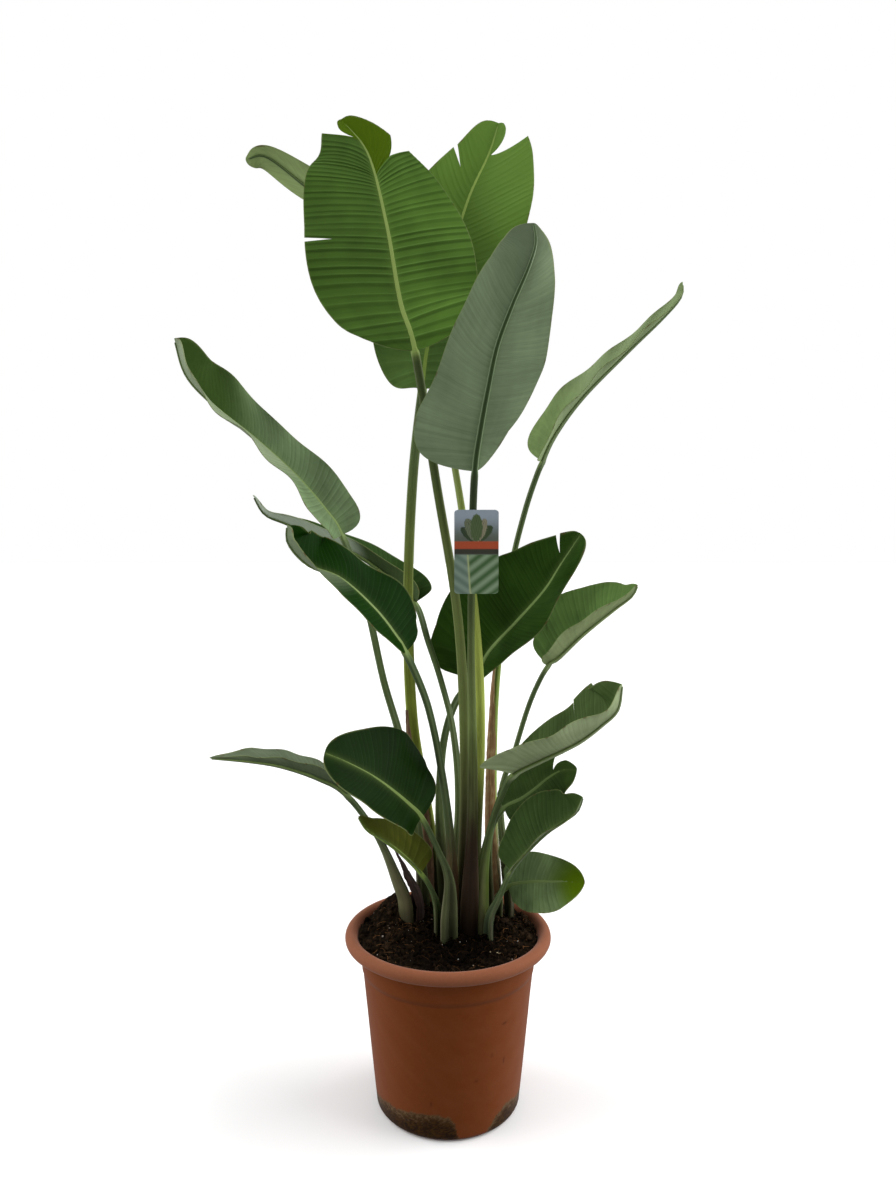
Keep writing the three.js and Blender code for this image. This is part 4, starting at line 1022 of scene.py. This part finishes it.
@dataclass
class DrySheath:
    """A papery shell that clasps a stalk and narrows to a torn, crumpled point.

    Attributes:
        top: The run up the stalk where it ends.
        toward: The way it faces, level.
        spread: How far round it reaches at the foot, in degrees.
        bulge: How much further it stands off in its middle, at the foot.
        narrowing: From what share of its height it narrows, and by how much.
        lift: How far it stands off the stalk.
        step: How far apart its rings are.
    """

    name: str
    node: str
    leaf: Leaf
    top: float
    toward: tuple[float, float]
    spread: float
    seed: int
    bulge: float
    narrowing: tuple[float, float]
    colour: Colour = (0.10, 0.045, 0.022)
    pale: Colour = (0.26, 0.17, 0.09)
    lift: float = 0.9
    columns: int = 25
    step: float = 4.0
    thickness: float = 0.5

    def build(self) -> None:
        """Make the shell: at each run an arc round the stalk, whose width shrinks and whose edge is ragged.

        Its distance from the stalk's middle is the stalk's own oval there, plus the lift, crumples and bulge.
        """
        runs = np.linspace(2.0, self.top, int(self.top / self.step))[:, None]
        rise, share = runs / self.top, np.linspace(-0.5, 0.5, self.columns)[None, :]
        place, direction, normal, right, _ = self.leaf.frame_at(runs)
        facing = np.broadcast_to([*self.toward, 0.0], place.shape)
        facing = unit(facing - (facing * direction).sum(-1, keepdims=True) * direction)
        start, most = self.narrowing
        ragged = 1 + 0.10 * waver(rise * 5 + np.sign(share) * 0.3, self.seed, 4)
        angle = math.radians(self.spread) * (1 - most * fade(rise, start, 1.0)) * ragged * share
        crumple = mottle(rise * self.top / 34.0, share * 2.6, self.seed + 3)
        loose = self.lift + 0.7 * np.abs(crumple) * fade(rise, 0.1, 0.6) + 1.2 * (2 * np.abs(share)) ** 6 * rise
        outward = facing * np.cos(angle)[..., None] + np.cross(direction, facing) * np.sin(angle)[..., None]
        across, above = ((outward * axis).sum(-1) for axis in (right, normal))
        across = across / (1 + CLASP_WIDTH * self.leaf.clasp_at(runs))
        oval = self.leaf.radius_at(runs) / np.hypot(across, above / np.where(above > 0, CHANNEL_HEIGHT, BACK_HEIGHT))
        radius = oval + loose + self.bulge * np.maximum(0.0, np.cos(angle)) ** 2 * (1 - rise**2)
        tone = blend(self.colour, self.pale, 0.55 * streaks(share * 7 + 0.3 * rise, self.seed + 7, 5)
                     + 0.5 * np.clip(crumple, 0, 1))
        tone = blend(tone, self.pale, 0.7 * fade(np.abs(share), 0.44, 0.5))
        shell = slab(place + outward * radius[..., None], outward, self.thickness, (tone, tone * 0.8),
                     together(runs * METRE, share * 0.2))
        make_piece(self.name, [shell], [DRY_PAPER], [self.node])


# Peat


@dataclass
class Peat:
    """The peat: a crowned, lumpy top with a heap at the back left, and crumbs, fibres, perlite and a twig on it.

    Its section is the radius and height of each point down its side and floor.
    """

    edge_height: float = 262.5
    crown: float = 4.0
    back_rise: float = 5.0
    edge_radius: float = 139.5
    section: tuple[tuple[float, float], ...] = (
        (132.8, 249.0), (131.6, 240.0), (107.0, 15.0), (100.0, 4.6), (0.0, 4.6))
    heap: tuple[float, float] = (-90.0, 82.0)
    heap_height: float = 34.0
    heap_spread: float = 42.0
    crumbs: int = 1500
    fibres: int = 260
    perlite: int = 70
    around: int = 220
    rings: int = 96
    dark: Colour = (0.0030, 0.0022, 0.0015)
    brown: Colour = (0.022, 0.013, 0.007)
    fibre_colour: Colour = (0.16, 0.075, 0.028)
    white: Colour = (0.62, 0.60, 0.56)
    wood: Colour = (0.34, 0.27, 0.16)

    def height(self, x: Array, y: Array) -> Array:
        """Give the top's height: a crown, a rise to the back, a heap at the back left, waves and fine lumps.

        Args:
            x: Places to the right.
            y: Places to the back.

        Returns:
            The height at each.
        """
        outward = (x * x + y * y) / self.edge_radius**2
        away = (x - self.heap[0]) ** 2 + (y - self.heap[1]) ** 2
        heap = self.heap_height * np.exp(-away / self.heap_spread**2) * (1 - 0.8 * outward**4)
        waves = 1.5 * (np.sin(x / 13 + y / 31) + np.cos(y / 11 - x / 37))
        fine = 2.6 * mottle(x / 34, y / 34, 71) + 1.4 * mottle(x / 12, y / 12, 72) + 0.8 * mottle(x / 5, y / 5, 73)
        rise = self.back_rise * y / self.edge_radius
        return self.edge_height + rise + self.crown * (1 - outward) + heap + waves + fine

    def dryness_and_shade(self, x: Array, y: Array) -> Array:
        """Give how pale the top is drawn: darker in the front middle as painted shade under the leaves, paler towards
        the rim and back, where the peat is drier.
        """
        return (0.35 + 1.1 * fade(np.hypot(x - 10, y + 55), 35.0, 115.0))[..., None]

    def body(self) -> Skin:
        """Build the filling: a turned side and floor under a polar grid of the rough top.

        Returns:
            The closed filling.
        """
        turn = angles(self.around)[None, :]
        radius = np.concatenate([[0.0], np.linspace(1.5, self.edge_radius, self.rings)])[:, None]
        top = turned(radius, 0.0, turn)
        top[..., 2] = self.height(top[..., 0], top[..., 1])
        points = np.concatenate([top, turned(*np.transpose(self.section)[:, :, None], turn)])
        x, y, _ = np.moveaxis(points, -1, 0)
        # Painted shade: the top is drawn darker in the front middle, under the leaves, and paler where the peat is
        # drier.
        tone = blend(self.dark, self.brown, patches(x / 9, y / 9, 74) ** 2) * self.dryness_and_shade(x, y)
        return Skin(points, grid_faces(*x.shape, round_columns=True), tone).welded()

    def scatter(self, count: int, seed: int, inset: float) -> tuple[Array, Array, np.random.Generator]:
        """Choose places on the top, evenly by area.

        Args:
            count: How many.
            seed: Which draw.
            inset: How far they keep from the pot.

        Returns:
            Their x, their y, and the generator for further draws.
        """
        chance = np.random.default_rng(seed)
        radius = (self.edge_radius - inset) * np.sqrt(chance.random(count))
        turn = FULL_TURN * chance.random(count)
        return radius * np.cos(turn), radius * np.sin(turn), chance

    @staticmethod
    def strewn(points: Array, faces: Array, tones: Array, material: int = 0) -> Skin:
        """Join many small bodies of one make into a skin.

        Args:
            points: Bodies by points by place.
            faces: The triangles of one body.
            tones: The colour of each body.
            material: Their material's number.

        Returns:
            The skin of them all.
        """
        count, each = points.shape[:2]
        faces = (faces[None] + np.arange(count)[:, None, None] * each).reshape(-1, 3)
        return Skin(points, faces, tones[:, None, :], material=material)

    def lumps(self, count: int, seed: int, sizes: tuple[float, float], colours: tuple[Colour, Colour],
              material: int) -> Skin:
        """Scatter rough lumps: each is a small ball whose radius is redrawn at every point.

        Args:
            count: How many.
            seed: Which draw.
            sizes: Smallest and largest radius.
            colours: The two ends of their colours.
            material: Their material's number; those of the first take the top's dryness and painted shade.

        Returns:
            Their skin.
        """
        x, y, chance = self.scatter(count, seed, 3.0)
        size = sizes[0] + (sizes[1] - sizes[0]) * chance.random(count) ** 2.5
        rows, around = 3, 6
        polar = np.linspace(0.0, math.pi, rows + 2)[1:-1, None]
        ring = turned(np.sin(polar), np.cos(polar), angles(around)[None, :]).reshape(-1, 3)
        ball = np.concatenate([ring, [[0.0, 0.0, 1.0], [0.0, 0.0, -1.0]]])
        shape = ball[None] * (0.65 + 0.6 * chance.random((count, len(ball), 1)))
        shape = shape * (0.7 + 0.6 * chance.random((count, 1, 3)))
        centre = together(x, y, self.height(x, y) + 0.35 * size)
        # The crumbs take the top's dryness and painted shade.
        tones = blend(*colours, chance.random(count)) * (1.0 if material else self.dryness_and_shade(x, y))
        return self.strewn(centre[:, None, :] + shape * size[:, None, None], tube_faces(rows, around), tones, material)

    def threads(self, count: int, seed: int) -> Skin:
        """Scatter bent fibres: each is a thin four-sided thread along an arc that rises and falls back.

        Args:
            count: How many.
            seed: Which draw.

        Returns:
            Their skin.
        """
        x, y, chance = self.scatter(count, seed, 10.0)
        x, y = x[:, None], y[:, None]
        rings, around = 7, 4
        along = np.linspace(-0.5, 0.5, rings)[None, :]
        length = 5 + 16 * chance.random((count, 1))
        heading = FULL_TURN * chance.random((count, 1))
        angle = heading + 2.5 * (chance.random((count, 1)) - 0.5) * along
        arch = (1 - 4 * along**2) * (0.5 + 3 * chance.random((count, 1)))
        line = together(x + length * along * np.cos(angle), y + length * along * np.sin(angle),
                        self.height(x, y) + 0.6 + arch)
        thick = (0.18 + 0.3 * chance.random((count, 1)))[..., None] * (1 - 1.2 * along**2)[..., None]
        wide, tall = thick * np.cos(angles(around)), thick * np.sin(angles(around))
        aside = together(-np.sin(angle)[..., None] * wide, np.cos(angle)[..., None] * wide, tall)
        points = line[:, :, None, :] + aside
        last = (rings - 1) * around
        ends = np.array([[0, 2, 1], [0, 3, 2], [last, last + 1, last + 2], [last, last + 2, last + 3]])
        faces = np.concatenate([grid_faces(rings, around, round_columns=True), ends])
        # The fibres take the top's dryness and painted shade.
        tones = blend(self.brown, self.fibre_colour, chance.random(count)) * self.dryness_and_shade(x, y)[:, 0]
        return self.strewn(points.reshape(count, -1, 3), faces, tones)

    def twig(self) -> Skin:
        """Lay one pale twig on the front right: a thin tapering tube along a slight arc.

        Returns:
            The twig.
        """
        along = np.linspace(0.0, 1.0, 12)[:, None]
        x, y = 62 + 17 * along, -72 + 5 * along + 3 * along**2
        thick, turn = 1.1 - 0.5 * along, angles(8)
        rings = together(x, y + thick * np.cos(turn), self.height(x, y) + 2.2 + thick * np.sin(turn))
        return tube(rings, np.broadcast_to(self.wood, rings.shape), rings[..., :2] * METRE)

    def build(self) -> None:
        """Make the peat's two pieces: the filling in place of its node, and what lies loose on it."""
        make_piece("peat_filling", [self.body()], [PEAT], ["soil"], 180.0)
        loose = [self.lumps(self.crumbs, 81, (0.7, 4.6), (self.dark, self.brown), 0),
                 self.lumps(self.perlite, 82, (0.5, 1.7), (self.white, self.fibre_colour), 1),
                 self.threads(self.fibres, 83), self.twig()]
        make_piece("peat_crumbs", loose, [PEAT, PERLITE], (), 70.0)


# Pot


@dataclass
class Pot:
    """The pot: a turned plastic shell with a rolled rim, a faint step and drain holes.

    Attributes:
        bead: Half width and half height of the rolled rim.
        rounding: Radius of the foot's outer edge.
        solid_middle: Radius of the whole part of the floor inside the holes.
        dirt_line: Degrees round from the front, and how high the dirt reaches there.
        scuffs: Degrees round, height, width and height of each dark mark.
        pale_rim: Where the paler rim starts and is full.
        surface_radius: What a turn counts for on the surface, in metres.
    """

    rim_radius: float = 160.0
    height: float = 273.0
    base_radius: float = 112.0
    neck_radius: float = 137.5
    wall: float = 4.0
    bead: tuple[float, float] = (9.5, 10.0)
    rounding: float = 10.0
    step_height: float = 215.0
    holes: int = 8
    hole_radius: float = 7.0
    hole_circle: float = 82.0
    solid_middle: float = 62.0
    around: int = 360
    clay: Colour = (0.158, 0.037, 0.0055)
    paler_clay: Colour = (0.320, 0.135, 0.080)
    dirt: Colour = (0.006, 0.003, 0.0005)
    olive: Colour = (0.048, 0.022, 0.002)
    dust: Colour = (0.165, 0.098, 0.045)
    dirt_line: tuple[tuple[float, float], ...] = (
        (-180, 24), (-150, 31), (-125, 18), (-95, 26), (-68, 28), (-56, 32), (-36, 37), (-25, 42), (-15, 43),
        (-6, 44), (1, 41), (5, 30), (7, 10), (9, 3), (27, 2), (30, 4), (32, 12), (38, 24), (42, 29), (46, 37),
        (60, 33), (84, 30), (105, 13), (130, 22), (150, 12), (180, 24))
    scuffs: tuple[tuple[float, float, float, float], ...] = (
        (40, 172, 6, 1.6), (42, 112, 2, 5), (31, 128, 2, 2), (-12, 60, 2, 3), (20, 95, 4, 1.5), (-150, 120, 9, 2))
    pale_rim: tuple[float, float] = (247.0, 258.0)
    surface_radius: float = 0.14

    @property
    def neck(self) -> float:
        """Give the height where the straight wall ends under the rim."""
        return self.height - 2 * self.bead[1] - 3

    def wall_radius(self, z: Array) -> Array:
        """Give the outer radius of the straight wall at a height."""
        share = (z - self.rounding) / (self.neck - self.rounding)
        return self.base_radius + (self.neck_radius - self.base_radius) * share

    @staticmethod
    def arc(centre: tuple[float, float], radii: tuple[float, float], ends: tuple[float, float],
            steps: int) -> Array:
        """Give radius and height along an elliptic arc between two angles in degrees."""
        angle = np.radians(np.linspace(*ends, steps + 1))
        return together(centre[0] + radii[0] * np.cos(angle), centre[1] + radii[1] * np.sin(angle))

    def profile(self) -> Array:
        """Trace the section from the foot's inner edge, up the outside, over the rim and down inside.

        Returns:
            Radius and height of each point.
        """
        corner = (self.base_radius - self.rounding, self.rounding)
        low = np.concatenate([np.linspace(self.rounding + 1.5, 52.0, 26),
                              np.linspace(55.0, self.step_height - 1.2, 50)])
        high = np.linspace(self.step_height + 0.6, self.neck - 3, 7)
        inner = np.linspace(self.neck, self.rounding + 6, 20)
        return np.concatenate([
            self.arc(corner, (self.rounding,) * 2, (-90, 0), 8),
            together(self.wall_radius(low) - 1.0 * fade(low, 40.0, 200.0), low),
            together(self.wall_radius(high), high),
            self.arc((self.neck_radius + 4.0, self.neck - 1.5), (4.0, 4.5), (180, 90), 4),
            self.arc((self.rim_radius - self.bead[0], self.height - self.bead[1]), self.bead, (-70, 180), 28),
            together(self.wall_radius(inner) - self.wall, inner),
            self.arc(corner, (self.rounding - self.wall,) * 2, (0, -90), 5)])

    def pierced_part(self, number: int, height: float) -> Array:
        """Lay out the part of the floor round one hole: straight lines from the hole's circle to a border.

        The border runs round the part's outer arc, one straight side, its inner arc and the other side.

        Args:
            number: Which hole.
            height: The sheet's height.

        Returns:
            Rows from the hole out by points round the hole.
        """
        half, outer = math.pi / self.holes, self.base_radius - self.rounding
        arc = np.linspace(-half, half, self.around // self.holes + 1)
        side = np.linspace(outer, self.solid_middle, 12)[1:-1]
        angle = np.concatenate([arc, 0 * side + half, arc[::-1], 0 * side - half])
        radius = np.concatenate([0 * arc + outer, side, 0 * arc + self.solid_middle, side[::-1]])
        turn = (2 * number + 1) * half
        border = turned(radius, height, angle + turn)
        centre = turned(self.hole_circle, height, turn)
        circle = centre + unit(border - centre) * self.hole_radius
        return circle + (border - circle) * np.array([0.0, 0.2, 0.55, 1.0])[:, None, None]

    def shell(self) -> Skin:
        """Turn the section round the axis, close it with the pierced floor, and colour it all by place.

        Returns:
            The closed shell.
        """
        disc = np.array([0.0, 0.3, 0.7, 1.0]) * self.solid_middle
        sections = (self.profile(), together(disc, 0.0), together(disc[::-1], self.wall))
        grids = [turned(*section.T[:, :, None], angles(self.around)) for section in sections]
        for number in range(self.holes):
            under, over = self.pierced_part(number, 0.0), self.pierced_part(number, self.wall)
            grids += [under, over[::-1], np.stack([over[0], under[0]])]
        starts = np.cumsum([0] + [grid[..., 0].size for grid in grids])
        faces = np.concatenate([grid_faces(*grid.shape[:2], round_columns=True) + start
                                for grid, start in zip(grids, starts)])
        points = np.concatenate([grid.reshape(-1, 3) for grid in grids])
        angle = np.arctan2(points[:, 0], -points[:, 1])
        return Skin(points, faces, self.tone(points, np.degrees(angle)),
                    together(angle * self.surface_radius, points[:, 2] * METRE)).welded()

    def tone(self, points: Array, degrees: Array) -> Array:
        """Colour the pot: clay, paler towards the rim, a thin line of painted shade under the step, scuffs, and a
        ragged line of dried mud over dirt at the foot.

        Args:
            points: Points, one a row.
            degrees: How far round each is from the front, to the right.

        Returns:
            The colour of each point.
        """
        x, y, height = points.T
        radius = np.hypot(x, y)
        outside = radius > self.wall_radius(height) - 2
        blotch = patches(x / 55 + height / 60, y / 55 - height / 90, 91)
        # The clay is drawn paler from the pale_rim heights up, over the rim.
        tone = blend(self.clay, self.paler_clay, 0.08 * blotch + 0.42 * fade(height, *self.pale_rim))
        # Painted shade: a thin dark line just under the step, where its small ledge would shade the wall.
        tone = tone * (1 - 0.3 * bell(height, self.step_height - 0.4, 1.3))[:, None]
        for at, up, wide, tall in self.scuffs:
            mark = bell(degrees, at, math.degrees(wide / radius.max())) * bell(height, up, tall)
            tone = blend(tone, self.dirt, 0.6 * mark * outside)
        ragged = 3.0 * mottle(x / 24, y / 24, 92) + 1.5 * mottle((x + height) / 9, (y - height) / 9, 93)
        below = np.interp(degrees, *np.transpose(self.dirt_line)) + ragged - height
        wander = 1.6 * mottle(degrees / 31, height / 29, 96)
        patch = patches(degrees / 13 + wander, height / 12 - wander, 94)
        speck = patches(degrees / 6 - 1.7 * wander, height / 8 + 2.3 * wander + patch, 95, 3)
        earth = blend(self.dirt, self.olive, fade(patch * speck, 0.14, 0.45))
        crust = fade(below + 22 * (patch - 0.5) + 8 * (speck - 0.5), 13.0, 2.0)
        dirty = blend(earth, self.dust, 0.9 * crust * (0.35 + 0.65 * speck))
        return blend(tone, dirty, (0.85 + 0.15 * speck) * fade(below, -1.0, 2.0) * outside * (height > 0.01))

    def build(self) -> None:
        """Make the pot with its drain holes."""
        make_piece("pot_shell", [self.shell()], [POT_PLASTIC], ["pot"], 40.0)


# Label


@dataclass
class Label:
    """The plant label: a rounded card with a plain printed field, hung on a loop of the same card.

    Attributes:
        bow: How far its middle stands forward.
        top: Height of the loop's middle.
        shift: How far the card hangs to the right.
        fan_foot: How far down the printed leaves meet.
        fan: Turn, length and colour of each printed leaf.
        climbing: How many of the stalk's first points are searched for the loop's height; there it only rises.
    """

    width: float = 65.0
    height: float = 123.0
    thickness: float = 0.9
    corner: float = 5.0
    bow: float = 0.6
    loop_height: float = 9.0
    loop_radius: float = 8.8
    top: float = 915.0
    shift: float = 5.0
    back: Colour = (0.55, 0.58, 0.52)
    loop: Colour = (0.30, 0.42, 0.30)
    fan_foot: float = 46.0
    fan: tuple[tuple[float, float, Colour], ...] = (
        (-0.85, 30.0, (0.035, 0.060, 0.025)), (0.80, 32.0, (0.050, 0.085, 0.030)),
        (-0.42, 36.0, (0.160, 0.190, 0.110)), (0.38, 35.0, (0.300, 0.280, 0.180)),
        (0.0, 40.0, (0.090, 0.140, 0.050)))
    grid: tuple[int, int] = (61, 101)
    loop_points: int = 48
    climbing: int = 200

    def build(self, leaf: Leaf) -> None:
        """Hang the card and its loop on a stalk where it passes the card's height.

        The card is a grid whose half width shrinks at the corners as a circle does, and whose middle stands forward by
        the bow times one less the square of the place across. The loop is a four-sided band turned round the stalk.

        Args:
            leaf: The leaf with that stalk.
        """
        run = np.interp(self.top, leaf.line.line[:self.climbing, 2], leaf.line.runs[:self.climbing])
        place = leaf.line.at(run)
        columns = np.linspace(-1.0, 1.0, self.grid[0])[:, None]
        rows = np.linspace(0.0, 1.0, self.grid[1])[None, :]
        down = rows * self.height
        into = np.maximum(0.0, self.corner - np.minimum(down, self.height - down))
        half_width = self.width / 2 - self.corner + np.sqrt(self.corner**2 - into**2)
        middle = together(columns * half_width + self.shift + place[0],
                          place[1] - self.loop_radius - self.thickness / 2 - self.bow * (1 - columns**2),
                          place[2] + self.loop_height / 2 - down)
        tones = (self.print_tone(columns + 0 * rows, rows + 0 * columns), np.broadcast_to(self.back, middle.shape))
        card = slab(middle, np.broadcast_to([0.0, -1.0, 0.0], middle.shape), self.thickness, tones,
                    together(columns, rows))
        radius = self.loop_radius + self.thickness * np.array([0.0, 1.0, 1.0, 0.0])[:, None]
        height = self.loop_height * np.array([-0.5, -0.5, 0.5, 0.5])[:, None]
        ring = turned(radius, height, angles(self.loop_points)) + place
        loop = Skin(ring, grid_faces(*ring.shape[:2], round_rows=True, round_columns=True), self.loop)
        make_piece("plant_label_card", [card, loop.welded()], [LABEL_CARD], ["plant_label"], 30.0)

    def print_tone(self, across: Array, down: Array) -> Array:
        """Colour the card's front: fanned leaves under a dull sky, an orange band, and one leaf seen close.

        Each fanned leaf is an ellipse turned about the field's foot, with stripes along it. The leaf below has its
        midrib a third of the way across and side veins that rise from it both ways.

        Args:
            across: From -1 at the left edge to 1 at the right.
            down: From 0 at the top to 1 at the bottom.

        Returns:
            The colour of each point.
        """
        x, up = across * self.width / 2, self.fan_foot - down * self.height
        tone = blend((0.30, 0.36, 0.42), (0.10, 0.12, 0.09), fade(down, 0.05, 0.36))
        for turn, length, shade in self.fan:
            along = up * math.cos(turn) + x * math.sin(turn)
            side = x * math.cos(turn) - up * math.sin(turn)
            inside = (side / (0.22 * length)) ** 2 + (2 * along / length - 1) ** 2 < 1
            stripe = (0.8 + 0.35 * np.cos(2.6 * np.abs(side) + 0.5 * along))[..., None]
            tone = np.where(inside[..., None], np.asarray(shade) * stripe, tone)
        rib = across + 0.34 - 0.25 * (down - 0.75)
        close = blend((0.045, 0.110, 0.030), (0.230, 0.330, 0.200), 0.5 + 0.5 * np.sin(46 * down + 9 * np.abs(rib)))
        close = blend(close, (0.20, 0.27, 0.26), 0.5 * (rib < 0))
        close = blend(close, (0.42, 0.48, 0.22), bell(rib, 0.0, 0.035))
        down = down[..., None]
        tone = np.where(down > 0.53, close, tone)
        tone = np.where((down > 0.37) & (down < 0.47), (0.42, 0.070, 0.022), tone)
        return np.where((down >= 0.47) & (down < 0.53), (0.035, 0.035, 0.022), tone)


# Stage


@dataclass(frozen=True)
class SoftLight:
    """A broad, distant light: where it comes from, how strong it is, and how wide it looks in degrees."""

    name: str
    source: Place
    strength: float
    width: float

    def build(self) -> None:
        """Hang the light, turned to shine from its source."""
        data = bpy.data.lights.new(self.name, "SUN")
        data.energy, data.angle = self.strength, math.radians(self.width)
        x, y, z = self.source
        lamp = bpy.data.objects.new(self.name, data)
        lamp.rotation_euler = (math.acos(z / math.hypot(x, y, z)), 0.0, math.atan2(y, x) + math.pi / 2)
        bpy.context.scene.collection.objects.link(lamp)


@dataclass
class Studio:
    """The camera where the photographer stood, in metres, broad soft lights, and a plain pale floor.

    The backdrop and the floor have one brightness as seen, and a lower one for the light that they give.
    """

    camera_place: Place = (0.0, -1.333, 0.858)
    pitch: float = 3.0
    lens: float = 26.21
    sensor: float = 36.0
    farthest: float = 200.0
    backdrop: float = 1.0
    fill: float = 0.08
    floor_size: float = 60.0
    floor_seen: float = 0.95
    floor_bounce: float = 0.34
    lights: tuple[SoftLight, ...] = (
        SoftLight("left_light", (-1.0, 0.05, 0.30), 3.2, 65.0),
        SoftLight("right_light", (1.0, 0.05, 0.40), 3.9, 65.0),
        SoftLight("top_light", (0.05, 0.20, 1.0), 1.75, 120.0),
        SoftLight("front_light", (-0.4, -1.0, 0.9), 0.15, 60.0))

    def build(self) -> None:
        """Set up the camera, the floor, the pale surround and the lights."""
        camera = bpy.data.objects.new("camera", bpy.data.cameras.new("camera"))
        camera.data.lens, camera.data.sensor_width, camera.data.sensor_fit = self.lens, self.sensor, "AUTO"
        camera.data.clip_end = self.farthest
        camera.location = self.camera_place
        camera.rotation_euler = (math.radians(90.0 - self.pitch), 0.0, 0.0)
        scene = bpy.context.scene
        scene.collection.objects.link(camera)
        scene.camera = camera
        scene.view_settings.view_transform = "Standard"
        self.floor()
        scene.world = bpy.data.worlds.new("surround")
        scene.world.use_nodes = True
        self.seen_or_lit(scene.world.node_tree, "Background", self.backdrop, self.fill)
        for light in self.lights:
            light.build()

    @staticmethod
    def seen_or_lit(tree: bpy.types.NodeTree, kind: str, seen: float, lit: float) -> None:
        """Give the stage one shade as the eye sees it, and a dimmer one for the light that it gives back.

        Args:
            tree: The floor's or the surround's node tree.
            kind: The shader's kind.
            seen: The brightness that is seen.
            lit: The brightness that gives light.
        """
        mix = wired(tree, "MixShader", Fac=wired(tree, "LightPath").outputs["Is Camera Ray"])
        for number, shade in ((1, lit), (2, seen)):
            if kind == "Background":
                shader = wired(tree, kind, Color=(1.0, 1.0, 1.0, 1.0), Strength=shade)
            else:
                shader = wired(tree, kind, Color=(shade, shade, shade, 1.0))
            tree.links.new(shader.outputs[0], mix.inputs[number])
        output = next(node for node in tree.nodes if node.type.startswith("OUTPUT"))
        tree.links.new(mix.outputs["Shader"], output.inputs["Surface"])

    def floor(self) -> None:
        """Lay a wide, plain pale floor under the pot."""
        mesh, size = bpy.data.meshes.new("floor"), self.floor_size
        mesh.from_pydata([(-size, -size, 0.0), (size, -size, 0.0), (size, size, 0.0), (-size, size, 0.0)], [],
                         [(0, 1, 2, 3)])
        material = bpy.data.materials.new("pale_floor")
        material.use_nodes = True
        self.seen_or_lit(material.node_tree, "BsdfDiffuse", self.floor_seen, self.floor_bounce)
        mesh.materials.append(material)
        floor = bpy.data.objects.new("floor", mesh)
        bpy.context.scene.collection.objects.link(floor)


def main() -> None:
    """Build the whole plant in its pot, piece by piece."""
    logging.basicConfig(level=logging.INFO, format="%(name)s %(message)s")
    Studio().build()
    Pot().build()
    Peat().build()
    known = {leaf.name: leaf for leaf in LEAVES}
    for leaf in LEAVES:
        leaf.build()
    DrySheath("dry_base_right", "dry_sheath_right", known["leaf_mid_far_right"], 440.0, (-0.85, -0.5), 175.0, 31,
              8.0, (0.7, 0.6), (0.17, 0.070, 0.026), (0.42, 0.30, 0.14), 0.6).build()
    DrySheath("dry_base_left", "dry_sheath_left", known["leaf_tall_back"], 372.0, (-0.75, -0.65), 150.0, 32,
              6.0, (0.6, 0.8)).build()
    DrySheath("dry_base_far_left", "dry_sheath_far_left", known["leaf_low_far_left"], 200.0, (1.0, 0.25), 130.0, 33,
              14.0, (0.35, 0.85), (0.016, 0.008, 0.007), (0.11, 0.06, 0.05)).build()
    Label().build(known["leaf_tall_right"])


if __name__ == "__main__":
    main()
